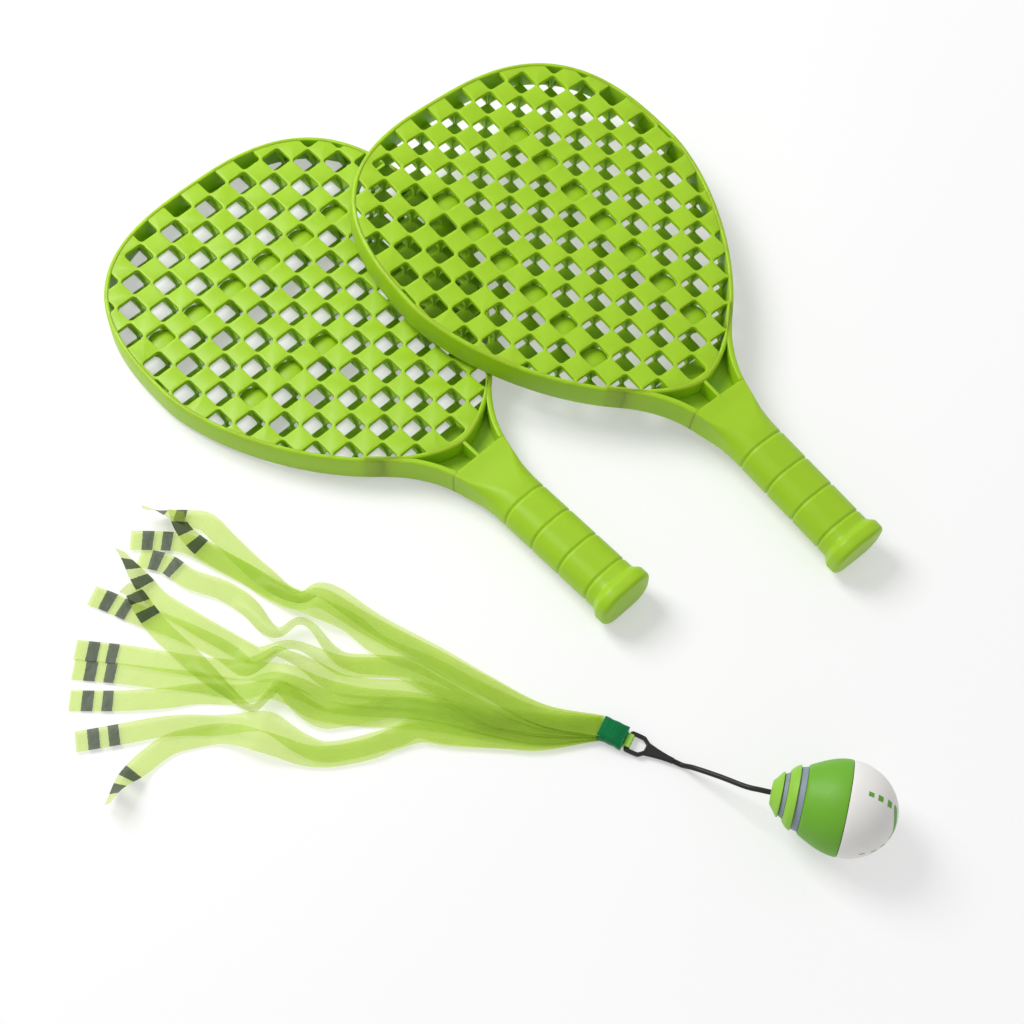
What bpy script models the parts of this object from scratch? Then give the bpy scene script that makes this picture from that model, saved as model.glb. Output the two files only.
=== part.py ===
"""Toy racket and ball set: two moulded rackets with a two-sided chessboard head,
and a ball on a strap with a tail of film ribbons.

Lengths are metres, +Z is up. One racket lies on the floor, the second leans on its rim
and on its own butt, and the ball and its tail lie in front of them.
"""
import math

import bmesh
import bpy
from mathutils import Matrix, Vector
from mathutils.geometry import delaunay_2d_cdt

# Gap kept between pieces that touch
CLEARANCE = 0.0003

# Racket head: an egg whose two ends meet at the widest line
HEAD_HALF_WIDTH = 0.1095
HEAD_FAR_LENGTH = 0.112
HEAD_NEAR_LENGTH = 0.1464
HEAD_FAR_ROUNDNESS = 2.78
HEAD_NEAR_ROUNDNESS = 1.60
HEAD_THICKNESS = 0.020
RIM_WALL = 0.0034
OUTLINE_STEPS_FAR = 16
OUTLINE_STEPS_NEAR = 14

# Chessboard: front tiles stand over back holes and the reverse, posts join their corners
CELL = 0.014
FIRST_HOLE = 0.0224
TILE_THICKNESS = 0.0028
POST_SIDE = 0.0022
POST_EVERY = 2
RIM_LEDGE = 0.0004
SMALLEST_HOLE_AREA = 0.16 * CELL * CELL
LATTICE_COLUMNS = 18
LATTICE_ROWS = 8

# Throat between head and grip
THROAT_START = 0.234
THROAT_LENGTH = 0.058
THROAT_START_SLOPE = -1.12
THROAT_END_SLOPE = -0.10
THROAT_RAIL = 0.0036
THROAT_RIB = 0.0022
THROAT_WEB = 0.0030
PLATE_START = 0.272
THROAT_STEPS = 6

# Grip: rounded-rectangle sections from the throat to the flared butt
GRIP_HALF_WIDTH = 0.0163
GRIP_HALF_THICKNESS = 0.0128
GRIP_CORNER = 0.0118
GRIP_OVERLAP = 0.012
GRIP_BLEND_LENGTH = 0.012
GROOVE_FIRST = 0.311
GROOVE_PITCH = 0.022
GROOVE_COUNT = 4
GROOVE_HALF_WIDTH = 0.0011
GROOVE_DEPTH = 0.0008
BUTT_LENGTH = 0.0125
BUTT_HALF_WIDTH = 0.0188
BUTT_HALF_THICKNESS = 0.0155
BUTT_CORNER = 0.0122
BUTT_EDGE = 0.0022
RACKET_LENGTH = 0.396
CORNER_STEPS = 3

# Where the far end of each racket's head lies, and which way the racket points
LOWER_PLACE = (-0.2083, 0.2205)
LOWER_HEADING = -46.1
UPPER_PLACE = (-0.0528, 0.2700)
UPPER_HEADING = -49.6
UPPER_PITCH = 3.62
UPPER_ROLL = 2.6

# Ball: lengths along its axis from the tail face, and radii there
BALL_RADIUS = 0.0268
BALL_EQUATOR = 0.0400
BALL_NOSE_LENGTH = 0.0277
TAIL_FACE_RADIUS = 0.0066
RING_REAR_END = 0.0056
RING_REAR_RADIUS = 0.0126
BAND_REAR_END = 0.0080
RING_FRONT_END = 0.0136
RING_FRONT_RADIUS = 0.0181
BAND_FRONT_END = 0.0171
BAND_STEP = 0.0008
RING_EDGE = 0.0012
BALL_STEPS = 20
BALL_PLACE = (0.179, -0.192)
BALL_HEADING = -13.5
BALL_NOSE_UP = 3.0

# Strap between ball and tail
CORD_DIAMETER = 0.0030
CORD_POINTS = 18
CORD_ROUTE = ((0.1265, -0.1785, 0.0222), (0.1140, -0.1705, 0.0150), (0.1010, -0.1630, 0.0078))
FORK_NECK = (0.0900, -0.1570)
FORK_HEADING = 155.0
FORK_NECK_LENGTH = 0.0120
FORK_LENGTH = 0.0160
FORK_WIDTH = 0.0130
FORK_THICKNESS = 0.0026
FORK_ARM = 0.0022
FORK_SHOULDER = 0.0040

# Film ribbons and the tape that binds them
RIBBON_WIDTH = 0.0120
FILM_THICKNESS = 0.0003
LAYER_PITCH = 0.00062
FOLD_WALL = 0.0008
TAPE_LENGTH = 0.0150
TAPE_MARGIN = 0.0008
WAVE_SHEAR = 0.33
WAVE_CREST = -0.137
WAVE_HALF_LENGTH = 0.030
WAVE_HEIGHT = 0.0065
RIPPLE_HEIGHT = 0.0012
RIPPLE_LENGTH = 0.085
RIBBON_STATIONS = 15

GREEN = (0.36, 0.62, 0.02, 1.0)
BALL_GREEN = (0.16, 0.42, 0.03, 1.0)
BAND_GREY = (0.24, 0.27, 0.33, 1.0)
WHITE = (0.80, 0.79, 0.77, 1.0)
BLACK = (0.012, 0.012, 0.012, 1.0)
TAPE_GREEN = (0.0, 0.20, 0.09, 1.0)
FILM_GREEN = (0.36, 0.66, 0.10, 1.0)


def clear_scene():
    for old in list(bpy.data.objects):
        bpy.data.objects.remove(old, do_unlink=True)


def make_material(name, colour, roughness):
    material = bpy.data.materials.new(name)
    material.use_nodes = True
    shader = material.node_tree.nodes["Principled BSDF"]
    shader.inputs["Base Color"].default_value = colour
    shader.inputs["Roughness"].default_value = roughness
    shader.inputs["Metallic"].default_value = 0.0
    return material


def new_object(name, mesh, collection, material=None):
    obj = bpy.data.objects.new(name, mesh)
    collection.objects.link(obj)
    if material:
        mesh.materials.append(material)
    return obj


def smoothstep(t):
    t = min(max(t, 0.0), 1.0)
    return t * t * (3.0 - 2.0 * t)


def egg_half_width(x, inset=0.0):
    """Half width of the head at x from its far end: two superellipse ends, drawn in by inset."""
    from_widest = x - HEAD_FAR_LENGTH
    if from_widest < 0.0:
        reach, power = HEAD_FAR_LENGTH - inset, HEAD_FAR_ROUNDNESS
    else:
        reach, power = HEAD_NEAR_LENGTH - inset, HEAD_NEAR_ROUNDNESS
    share = min(abs(from_widest) / reach, 1.0)
    return (HEAD_HALF_WIDTH - inset) * (1.0 - share ** power) ** (1.0 / power)


def egg_points(inset=0.0, x_end=None):
    """Upper edge of the egg from its far tip to x_end, closely spaced where it turns."""
    points = []
    for step in range(OUTLINE_STEPS_FAR):
        turn = 0.5 * math.pi * step / OUTLINE_STEPS_FAR
        share = math.cos(turn) ** (2.0 / HEAD_FAR_ROUNDNESS)
        x = HEAD_FAR_LENGTH - (HEAD_FAR_LENGTH - inset) * share
        points.append((x, egg_half_width(x, inset)))
    for step in range(OUTLINE_STEPS_NEAR + 1):
        turn = 0.5 * math.pi * step / OUTLINE_STEPS_NEAR
        share = math.sin(turn) ** (2.0 / HEAD_NEAR_ROUNDNESS)
        x = HEAD_FAR_LENGTH + (HEAD_NEAR_LENGTH - inset) * share
        if x_end is not None and x >= x_end:
            break
        points.append((x, egg_half_width(x, inset)))
    return points


def throat_half_width(x):
    """Half width over the throat: a Hermite curve from the egg's side down to the grip."""
    t = min(max((x - THROAT_START) / THROAT_LENGTH, 0.0), 1.0)
    start = egg_half_width(THROAT_START)
    end = GRIP_HALF_WIDTH
    return ((2 * t ** 3 - 3 * t ** 2 + 1) * start + (t ** 3 - 2 * t ** 2 + t) * THROAT_LENGTH * THROAT_START_SLOPE
            + (3 * t ** 2 - 2 * t ** 3) * end + (t ** 3 - t ** 2) * THROAT_LENGTH * THROAT_END_SLOPE)


def mirrored(points):
    """Close an upper edge into a full outline by mirroring it across the racket's axis."""
    lower = [(x, -y) for x, y in reversed(points) if abs(y) > 1e-9]
    return list(points) + lower


def clip_polygon(subject, clip):
    """Keep the part of a convex polygon that lies inside a convex outline, both anticlockwise."""
    result = list(subject)
    for start, end in zip(clip, clip[1:] + clip[:1]):
        side = [(end[0] - start[0]) * (y - start[1]) - (end[1] - start[1]) * (x - start[0]) for x, y in result]
        kept = []
        for index, point in enumerate(result):
            before = result[index - 1]
            if side[index] * side[index - 1] < 0.0:
                t = side[index - 1] / (side[index - 1] - side[index])
                kept.append((before[0] + t * (point[0] - before[0]), before[1] + t * (point[1] - before[1])))
            if side[index] >= 0.0:
                kept.append(point)
        result = kept
        if len(result) < 3:
            return []
    return result


def polygon_area(points):
    return 0.5 * sum(x0 * y1 - x1 * y0 for (x0, y0), (x1, y1) in zip(points, points[1:] + points[:1]))


def flat_solid(name, outlines, z_low, z_high, collection, material=None):
    """Extrude flat outlines between two heights, an outline inside another being a hole."""
    curve = bpy.data.curves.new(name, "CURVE")
    curve.dimensions = "2D"
    curve.fill_mode = "BOTH"
    curve.extrude = 0.5 * (z_high - z_low)
    for outline in outlines:
        spline = curve.splines.new("POLY")
        spline.points.add(len(outline) - 1)
        for point, (x, y) in zip(spline.points, outline):
            point.co = (x, y, 0.0, 1.0)
        spline.use_cyclic_u = True
    flat = bpy.data.objects.new(name + "_outline", curve)
    collection.objects.link(flat)
    mesh = mesh_of(flat)
    mesh.transform(Matrix.Translation((0.0, 0.0, 0.5 * (z_low + z_high))))
    weld(mesh)
    return new_object(name, mesh, collection, material)


def mesh_of(source):
    """Turn a curve or a modified object into a plain mesh, and remove the source."""
    bpy.context.view_layer.update()
    evaluated = source.evaluated_get(bpy.context.evaluated_depsgraph_get())
    mesh = bpy.data.meshes.new_from_object(evaluated)
    bpy.data.objects.remove(source, do_unlink=True)
    return mesh


def weld(mesh):
    work = bmesh.new()
    work.from_mesh(mesh)
    bmesh.ops.remove_doubles(work, verts=work.verts, dist=1e-6)
    bmesh.ops.recalc_face_normals(work, faces=work.faces)
    work.to_mesh(mesh)
    work.free()


def hide_cutter(cutter):
    cutter.hide_render = True
    cutter.display_type = "WIRE"


def boolean(obj, other, operation):
    hide_cutter(other)
    step = obj.modifiers.new(operation.lower() + "_" + other.name, "BOOLEAN")
    step.operation = operation
    step.object = other
    step.solver = "EXACT"


def loft(name, sections, collection):
    """Skin closed rings of equal length and cap both ends."""
    work = bmesh.new()
    rings = [[work.verts.new(point) for point in ring] for ring in sections]
    count = len(rings[0])
    for ring, following in zip(rings, rings[1:]):
        for index in range(count):
            after = (index + 1) % count
            work.faces.new((ring[index], ring[after], following[after], following[index]))
    work.faces.new(rings[0][::-1])
    work.faces.new(rings[-1])
    bmesh.ops.recalc_face_normals(work, faces=work.faces)
    mesh = bpy.data.meshes.new(name)
    work.to_mesh(mesh)
    work.free()
    return new_object(name, mesh, collection)


def rounded_section(x, half_width, half_height, corner):
    """One ring of the grip at x: a rectangle with round corners in the YZ plane."""
    ring = []
    corner = min(corner, 0.999 * half_width, 0.999 * half_height)
    for quarter, (side_y, side_z) in enumerate(((1, 1), (-1, 1), (-1, -1), (1, -1))):
        for step in range(CORNER_STEPS):
            turn = 0.5 * math.pi * (quarter + step / (CORNER_STEPS - 1))
            ring.append((x, side_y * (half_width - corner) + corner * math.cos(turn),
                         side_z * (half_height - corner) + corner * math.sin(turn)))
    return ring


def rectangle(x_low, x_high, y_low, y_high):
    return [(x_low, y_low), (x_high, y_low), (x_high, y_high), (x_low, y_high)]


def grid_x(column):
    """Line between two columns of cells, on which the posts stand."""
    return FIRST_HOLE + (column - 0.5) * CELL


def grid_y(row):
    """Line between two rows of cells, on which the posts stand."""
    return (row - 0.5) * CELL


def anticlockwise(outline):
    return outline if polygon_area(outline) > 0.0 else outline[::-1]


def lattice_squares(parity):
    """Square holes of one colour of the chessboard, clipped just inside the rim."""
    inside = anticlockwise(mirrored(egg_points(RIM_WALL + RIM_LEDGE)))
    half = 0.5 * POST_SIDE
    squares = []
    for column in range(-2, LATTICE_COLUMNS):
        for row in range(-LATTICE_ROWS, LATTICE_ROWS + 1):
            square = rectangle(grid_x(column) + half, grid_x(column + 1) - half,
                               grid_y(row) + half, grid_y(row + 1) - half)
            hole = clip_polygon(square, inside)
            if (column + row) % 2 == parity and len(hole) > 2 and polygon_area(hole) > SMALLEST_HOLE_AREA:
                squares.append(hole)
    return squares


def post_squares():
    """Posts on every second line both ways, where they stand clear of the rim."""
    inside = anticlockwise(mirrored(egg_points(RIM_WALL + RIM_LEDGE)))
    half = 0.5 * POST_SIDE
    posts = []
    for column in range(-1, LATTICE_COLUMNS, POST_EVERY):
        for row in range(-LATTICE_ROWS, LATTICE_ROWS + 1, POST_EVERY):
            post = rectangle(grid_x(column) - half, grid_x(column) + half,
                             grid_y(row) - half, grid_y(row) + half)
            kept = clip_polygon(post, inside)
            if len(kept) > 2 and polygon_area(kept) > 0.999 * POST_SIDE * POST_SIDE:
                posts.append(post)
    return posts


def throat_pocket():
    """Outline of the hollow beside the throat's middle rib, on the +Y side."""
    half_rib = 0.5 * THROAT_RIB
    rail = []
    for share in (0.0, 0.25, 0.5, 0.75, 1.0):
        x = PLATE_START - share * (PLATE_START - THROAT_START)
        y = throat_half_width(x) - THROAT_RAIL
        if y > egg_half_width(x) + 0.3 * THROAT_RIB:
            rail.append((x, y))
    arc = [(x, y) for x, y in egg_points() if x > THROAT_START and half_rib < y < 0.96 * rail[-1][1]]
    return [(PLATE_START, half_rib)] + rail + arc + [(HEAD_FAR_LENGTH + HEAD_NEAR_LENGTH, half_rib)]


def grip_sections():
    """Rings of the grip from inside the throat to the butt's end."""
    throat_end = THROAT_START + THROAT_LENGTH
    rings = []
    for share in (0.0, 0.5, 1.0):
        x = throat_end - GRIP_OVERLAP * (1.0 - share)
        rings.append((x, throat_half_width(x) + CLEARANCE * 0.5, 0.5 * HEAD_THICKNESS + 0.0002 + 0.0009 * share,
                      0.0010 + 0.0045 * share))
    rings.append((throat_end + GRIP_BLEND_LENGTH, GRIP_HALF_WIDTH, GRIP_HALF_THICKNESS, GRIP_CORNER))
    for index in range(GROOVE_COUNT):
        middle = GROOVE_FIRST + index * GROOVE_PITCH
        for offset, depth in ((-GROOVE_HALF_WIDTH, 0.0), (0.0, GROOVE_DEPTH), (GROOVE_HALF_WIDTH, 0.0)):
            rings.append((middle + offset, GRIP_HALF_WIDTH - depth, GRIP_HALF_THICKNESS - depth, GRIP_CORNER - depth))
    butt_start = RACKET_LENGTH - BUTT_LENGTH
    rings.append((butt_start, GRIP_HALF_WIDTH, GRIP_HALF_THICKNESS, GRIP_CORNER))
    for share in (0.5, 1.0):
        swell = smoothstep(share)
        rings.append((butt_start + 0.4 * BUTT_LENGTH * share,
                      GRIP_HALF_WIDTH + swell * (BUTT_HALF_WIDTH - GRIP_HALF_WIDTH),
                      GRIP_HALF_THICKNESS + swell * (BUTT_HALF_THICKNESS - GRIP_HALF_THICKNESS),
                      GRIP_CORNER + swell * (BUTT_CORNER - GRIP_CORNER)))
    rings.append((RACKET_LENGTH - BUTT_EDGE, BUTT_HALF_WIDTH, BUTT_HALF_THICKNESS, BUTT_CORNER))
    rings.append((RACKET_LENGTH, BUTT_HALF_WIDTH - BUTT_EDGE, BUTT_HALF_THICKNESS - BUTT_EDGE,
                  BUTT_CORNER - BUTT_EDGE))
    return [rounded_section(*ring) for ring in rings]


class Moulding:
    """A solid built from flat sheets at a few heights and the upright walls between them."""

    def __init__(self):
        self.work = bmesh.new()
        self.corners = {}

    def corner(self, x, y, z):
        key = (x, y, z)
        if key not in self.corners:
            self.corners[key] = self.work.verts.new(key)
        return self.corners[key]

    def wall(self, outline, z_low, z_high):
        for start, end in zip(outline, outline[1:] + outline[:1]):
            self.work.faces.new((self.corner(*start, z_low), self.corner(*end, z_low),
                                 self.corner(*end, z_high), self.corner(*start, z_high)))

    def sheet(self, outline, openings, z):
        """Fill an outline at one height, leaving the openings inside it free."""
        places = []
        loops = []
        for loop in [outline] + openings:
            indices = []
            for point in anticlockwise(loop):
                if point not in places:
                    places.append(point)
                indices.append(places.index(point))
            loops.append(indices)
        result = delaunay_2d_cdt([Vector(point) for point in places], [], loops, 1, 1e-7)
        corners = [self.corner(*places[sources[0]], z) for sources in result[3]]
        for triangle, owners in zip(result[2], result[5]):
            if list(owners) == [0]:
                self.work.faces.new([corners[index] for index in triangle])

    def finish(self, name, collection):
        bmesh.ops.recalc_face_normals(self.work, faces=self.work.faces)
        mesh = bpy.data.meshes.new(name)
        self.work.to_mesh(mesh)
        self.work.free()
        return new_object(name, mesh, collection)


def build_head(collection):
    """Slab with the hollow chessboard and the throat pockets, tip to throat end."""
    top = 0.5 * HEAD_THICKNESS
    under_tiles = top - TILE_THICKNESS
    upper_edge = egg_points(x_end=THROAT_START)
    for step in range(THROAT_STEPS + 1):
        x = THROAT_START + THROAT_LENGTH * step / THROAT_STEPS
        upper_edge.append((x, throat_half_width(x)))
    outline = mirrored(upper_edge)
    inside = mirrored(egg_points(RIM_WALL))
    pocket = throat_pocket()
    pockets = [pocket, [(x, -y) for x, y in pocket]]
    posts = post_squares()
    head = Moulding()
    head.wall(outline, -top, top)
    head.wall(inside, -under_tiles, under_tiles)
    for post in posts:
        head.wall(post, -under_tiles, under_tiles)
    for side, parity in ((1, 0), (-1, 1)):
        holes = lattice_squares(parity)
        for hole in holes:
            head.wall(hole, side * under_tiles, side * top)
        head.sheet(outline, holes + pockets, side * top)
        head.sheet(inside, holes + posts, side * under_tiles)
        for hollow in pockets:
            head.wall(hollow, side * 0.5 * THROAT_WEB, side * top)
            head.sheet(hollow, [], side * 0.5 * THROAT_WEB)
    return head.finish("racket_head", collection)


def build_racket_mesh(cutters):
    """One moulding: the head and its throat, joined to the grip."""
    head = build_head(cutters)
    grip = loft("grip", grip_sections(), cutters)
    boolean(head, grip, "UNION")
    mesh = mesh_of(head)
    weld(mesh)
    return mesh


def place_racket(name, mesh, matrix, collection, material):
    racket = new_object(name, mesh, collection)
    racket.data.materials.clear()
    racket.data.materials.append(material)
    racket.matrix_world = matrix
    return racket


def lower_matrix():
    """The racket that lies on the floor: far rim and thicker butt both touch it."""
    droop = math.asin((BUTT_HALF_THICKNESS - 0.5 * HEAD_THICKNESS) / (RACKET_LENGTH - BUTT_EDGE))
    turn = Matrix.Rotation(math.radians(LOWER_HEADING), 4, "Z") @ Matrix.Rotation(-droop, 4, "Y")
    height = 0.5 * HEAD_THICKNESS * math.cos(droop)
    return Matrix.Translation((*LOWER_PLACE, height)) @ turn


def upper_matrix():
    """The racket that leans: its butt's lower edge is on the floor."""
    turn = (Matrix.Rotation(math.radians(UPPER_HEADING), 4, "Z")
            @ Matrix.Rotation(math.radians(UPPER_PITCH), 4, "Y")
            @ Matrix.Rotation(math.radians(-UPPER_ROLL), 4, "X"))
    lowest = min((turn @ Vector(point)).z for ring in grip_sections() for point in ring)
    return Matrix.Translation((*UPPER_PLACE, -lowest)) @ turn


def turned(name, profile, collection, material):
    """Turn a half profile of (radius, height) points about the Z axis."""
    mesh = bpy.data.meshes.new(name)
    mesh.from_pydata([(radius, 0.0, height) for radius, height in profile],
                     [(index, index + 1) for index in range(len(profile) - 1)], [])
    obj = new_object(name, mesh, collection, material)
    screw = obj.modifiers.new("turn", "SCREW")
    screw.axis = "Z"
    screw.angle = 2.0 * math.pi
    screw.steps = BALL_STEPS
    screw.render_steps = BALL_STEPS
    screw.use_merge_vertices = True
    screw.merge_threshold = 1e-5
    screw.use_smooth_shade = True
    return obj


def ball_radius_at(height):
    """Outer radius of the ball's rear cone at a height above the tail face."""
    share = (height - BAND_FRONT_END) / (BALL_EQUATOR - BAND_FRONT_END)
    start = RING_FRONT_RADIUS + BAND_STEP
    return start + (BALL_RADIUS - start) * math.sin(0.5 * math.pi * min(max(share, 0.0), 1.0))


def ball_frame():
    """Matrix of the ball: its local Z runs from the tail face to the nose, its belly on the floor."""
    tilt = math.radians(90.0 - BALL_NOSE_UP)
    turn = Matrix.Rotation(math.radians(BALL_HEADING), 4, "Z") @ Matrix.Rotation(tilt, 4, "Y")
    belly = turn @ Vector((0.0, 0.0, BALL_EQUATOR))
    return Matrix.Translation((BALL_PLACE[0] - belly.x, BALL_PLACE[1] - belly.y, BALL_RADIUS - belly.z)) @ turn


def build_ball(collection, materials):
    """Nose, body, two cupped rings and the two bands between them, stacked on one axis."""
    frame = ball_frame()
    gap = CLEARANCE
    nose = [(0.0, BALL_EQUATOR + BALL_NOSE_LENGTH)]
    for step in range(1, 8):
        turn = 0.5 * math.pi * (1.0 - step / 7.0)
        height = BALL_EQUATOR + gap + (BALL_NOSE_LENGTH - gap) * math.sin(turn)
        nose.append((BALL_RADIUS * math.cos(turn), height))
    nose.append((0.0, BALL_EQUATOR + gap))
    body = [(0.0, BALL_EQUATOR)]
    for share in (1.0, 0.75, 0.5, 0.25, 0.0):
        height = BAND_FRONT_END + gap + share * (BALL_EQUATOR - BAND_FRONT_END - gap)
        body.append((ball_radius_at(height), height))
    body.append((0.0, BAND_FRONT_END + gap))
    pieces = (
        ("ball_nose", nose, "white"),
        ("ball_body", body, "ball_green"),
        ("ball_band_front", [(0.0, BAND_FRONT_END), (RING_FRONT_RADIUS + 0.5 * BAND_STEP, BAND_FRONT_END),
                             (RING_FRONT_RADIUS - BAND_STEP, RING_FRONT_END + gap),
                             (0.0, RING_FRONT_END + gap)], "grey"),
        ("ball_ring_front", [(0.0, RING_FRONT_END), (RING_FRONT_RADIUS, RING_FRONT_END),
                             (RING_FRONT_RADIUS, RING_FRONT_END - 0.5 * RING_EDGE),
                             (RING_FRONT_RADIUS - RING_EDGE, 0.5 * (BAND_REAR_END + RING_FRONT_END)),
                             (RING_REAR_RADIUS + 2.0 * BAND_STEP, BAND_REAR_END + gap),
                             (0.0, BAND_REAR_END + gap)], "ball_green"),
        ("ball_band_rear", [(0.0, BAND_REAR_END), (RING_REAR_RADIUS + 0.5 * BAND_STEP, BAND_REAR_END),
                            (RING_REAR_RADIUS - BAND_STEP, RING_REAR_END + gap),
                            (0.0, RING_REAR_END + gap)], "grey"),
        ("ball_ring_rear", [(0.0, RING_REAR_END), (RING_REAR_RADIUS, RING_REAR_END),
                            (TAIL_FACE_RADIUS + RING_EDGE, RING_EDGE), (TAIL_FACE_RADIUS, 0.0),
                            (0.0, 0.0)], "ball_green"),
    )
    for name, profile, slot in pieces:
        turned(name, profile, collection, materials[slot]).matrix_world = frame


def smooth_route(points, count):
    """Catmull-Rom curve through the points, sampled at count even steps of its parameter."""
    knots = [Vector(point) for point in points]
    knots = [2 * knots[0] - knots[1]] + knots + [2 * knots[-1] - knots[-2]]
    route = []
    for index in range(count):
        position = (len(knots) - 3) * index / (count - 1)
        span = min(int(position), len(knots) - 4)
        t = position - span
        a, b, c, d = knots[span:span + 4]
        route.append(0.5 * (2 * b + (c - a) * t + (2 * a - 5 * b + 4 * c - d) * t ** 2
                            + (3 * b - a - 3 * c + d) * t ** 3))
    return route


def fork_frame():
    """Matrix of the fork: local X runs from the cord to the tape, flat on the floor."""
    turn = Matrix.Rotation(math.radians(FORK_HEADING), 4, "Z")
    return Matrix.Translation((*FORK_NECK, 0.5 * FORK_THICKNESS + FOLD_WALL + CLEARANCE)) @ turn


def build_strap(collection, materials):
    """Cord from the ball's tail face to the neck of the fork, and the fork's flat ring."""
    tail = ball_frame()
    start = tail @ Vector((0.0, 0.0, -CLEARANCE))
    lead = tail @ Vector((0.0, 0.0, -2.0 * CORD_DIAMETER))
    fork = fork_frame()
    finish = fork @ Vector((-CLEARANCE, 0.0, 0.0))
    approach = fork @ Vector((-2.0 * CORD_DIAMETER, 0.0, 0.0))
    route = smooth_route([start, lead, *CORD_ROUTE, approach, finish], CORD_POINTS)
    curve = bpy.data.curves.new("tether_cord", "CURVE")
    curve.dimensions = "3D"
    curve.bevel_depth = 0.5 * CORD_DIAMETER
    curve.bevel_resolution = 2
    curve.use_fill_caps = True
    spline = curve.splines.new("POLY")
    spline.points.add(len(route) - 1)
    for point, place in zip(spline.points, route):
        point.co = (*place, 1.0)
    tube = bpy.data.objects.new("tether_cord_path", curve)
    collection.objects.link(tube)
    mesh = mesh_of(tube)
    weld(mesh)
    new_object("tether_cord", mesh, collection, materials["black"])

    half_neck = 0.5 * CORD_DIAMETER
    half_wide = 0.5 * FORK_WIDTH
    ring_start = FORK_NECK_LENGTH
    ring_end = FORK_NECK_LENGTH + FORK_LENGTH
    upper = [(0.0, half_neck), (0.6 * ring_start, 1.4 * half_neck), (ring_start, 1.9 * half_neck),
             (ring_start + FORK_SHOULDER, half_wide), (ring_end, half_wide)]
    window = [(ring_start + FORK_SHOULDER, half_wide - FORK_ARM), (ring_end - FORK_ARM, half_wide - FORK_ARM),
              (ring_end - FORK_ARM, FORK_ARM - half_wide), (ring_start + FORK_SHOULDER, FORK_ARM - half_wide),
              (ring_start + 0.5 * FORK_SHOULDER, 0.0)]
    half_thick = 0.5 * FORK_THICKNESS
    ring = flat_solid("tether_fork", [mirrored(upper), window], -half_thick, half_thick, collection,
                      materials["black"])
    ring.matrix_world = fork


def tape_frame():
    """Matrix of the tape: it starts where the fold over the fork's bar ends."""
    reach = FORK_NECK_LENGTH + FORK_LENGTH + FOLD_WALL + 2.0 * CLEARANCE
    return fork_frame() @ Matrix.Translation((reach, 0.0, 0.0))


def build_binding(collection, materials):
    """Film folded over the fork's end bar, and the tape wound round the ribbons."""
    bar_end = FORK_NECK_LENGTH + FORK_LENGTH
    outer_x0 = bar_end - FORK_ARM - CLEARANCE - FOLD_WALL
    outer_x1 = bar_end + CLEARANCE + FOLD_WALL
    outer_z = 0.5 * FORK_THICKNESS + CLEARANCE + FOLD_WALL
    inner_z = 0.5 * FORK_THICKNESS + CLEARANCE
    outer = [(outer_x0, -outer_z), (outer_x1, -outer_z), (outer_x1, outer_z), (outer_x0, outer_z)]
    inner = [(outer_x0 + FOLD_WALL, -inner_z), (outer_x1 - FOLD_WALL, -inner_z),
             (outer_x1 - FOLD_WALL, inner_z), (outer_x0 + FOLD_WALL, inner_z)]
    half_fold = 0.5 * FORK_WIDTH - FORK_ARM - CLEARANCE
    fold = flat_solid("ribbon_fold", [outer, inner], -half_fold, half_fold, collection, materials["film"])
    fold.matrix_world = fork_frame() @ Matrix.Rotation(math.radians(90.0), 4, "X")

    half_wide = 0.5 * RIBBON_WIDTH + TAPE_MARGIN
    low = CLEARANCE - tape_frame().translation.z
    high = low + len(RIBBONS) * LAYER_PITCH + TAPE_MARGIN
    section = rounded_section(0.0, half_wide, 0.5 * (high - low), 0.4 * (high - low))
    rings = [[(x, y, z + 0.5 * (high + low)) for _, y, z in section] for x in (0.0, TAPE_LENGTH)]
    tape = loft("tape_wrap", rings, collection)
    tape.data.materials.append(materials["tape"])
    tape.matrix_world = tape_frame()


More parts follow.
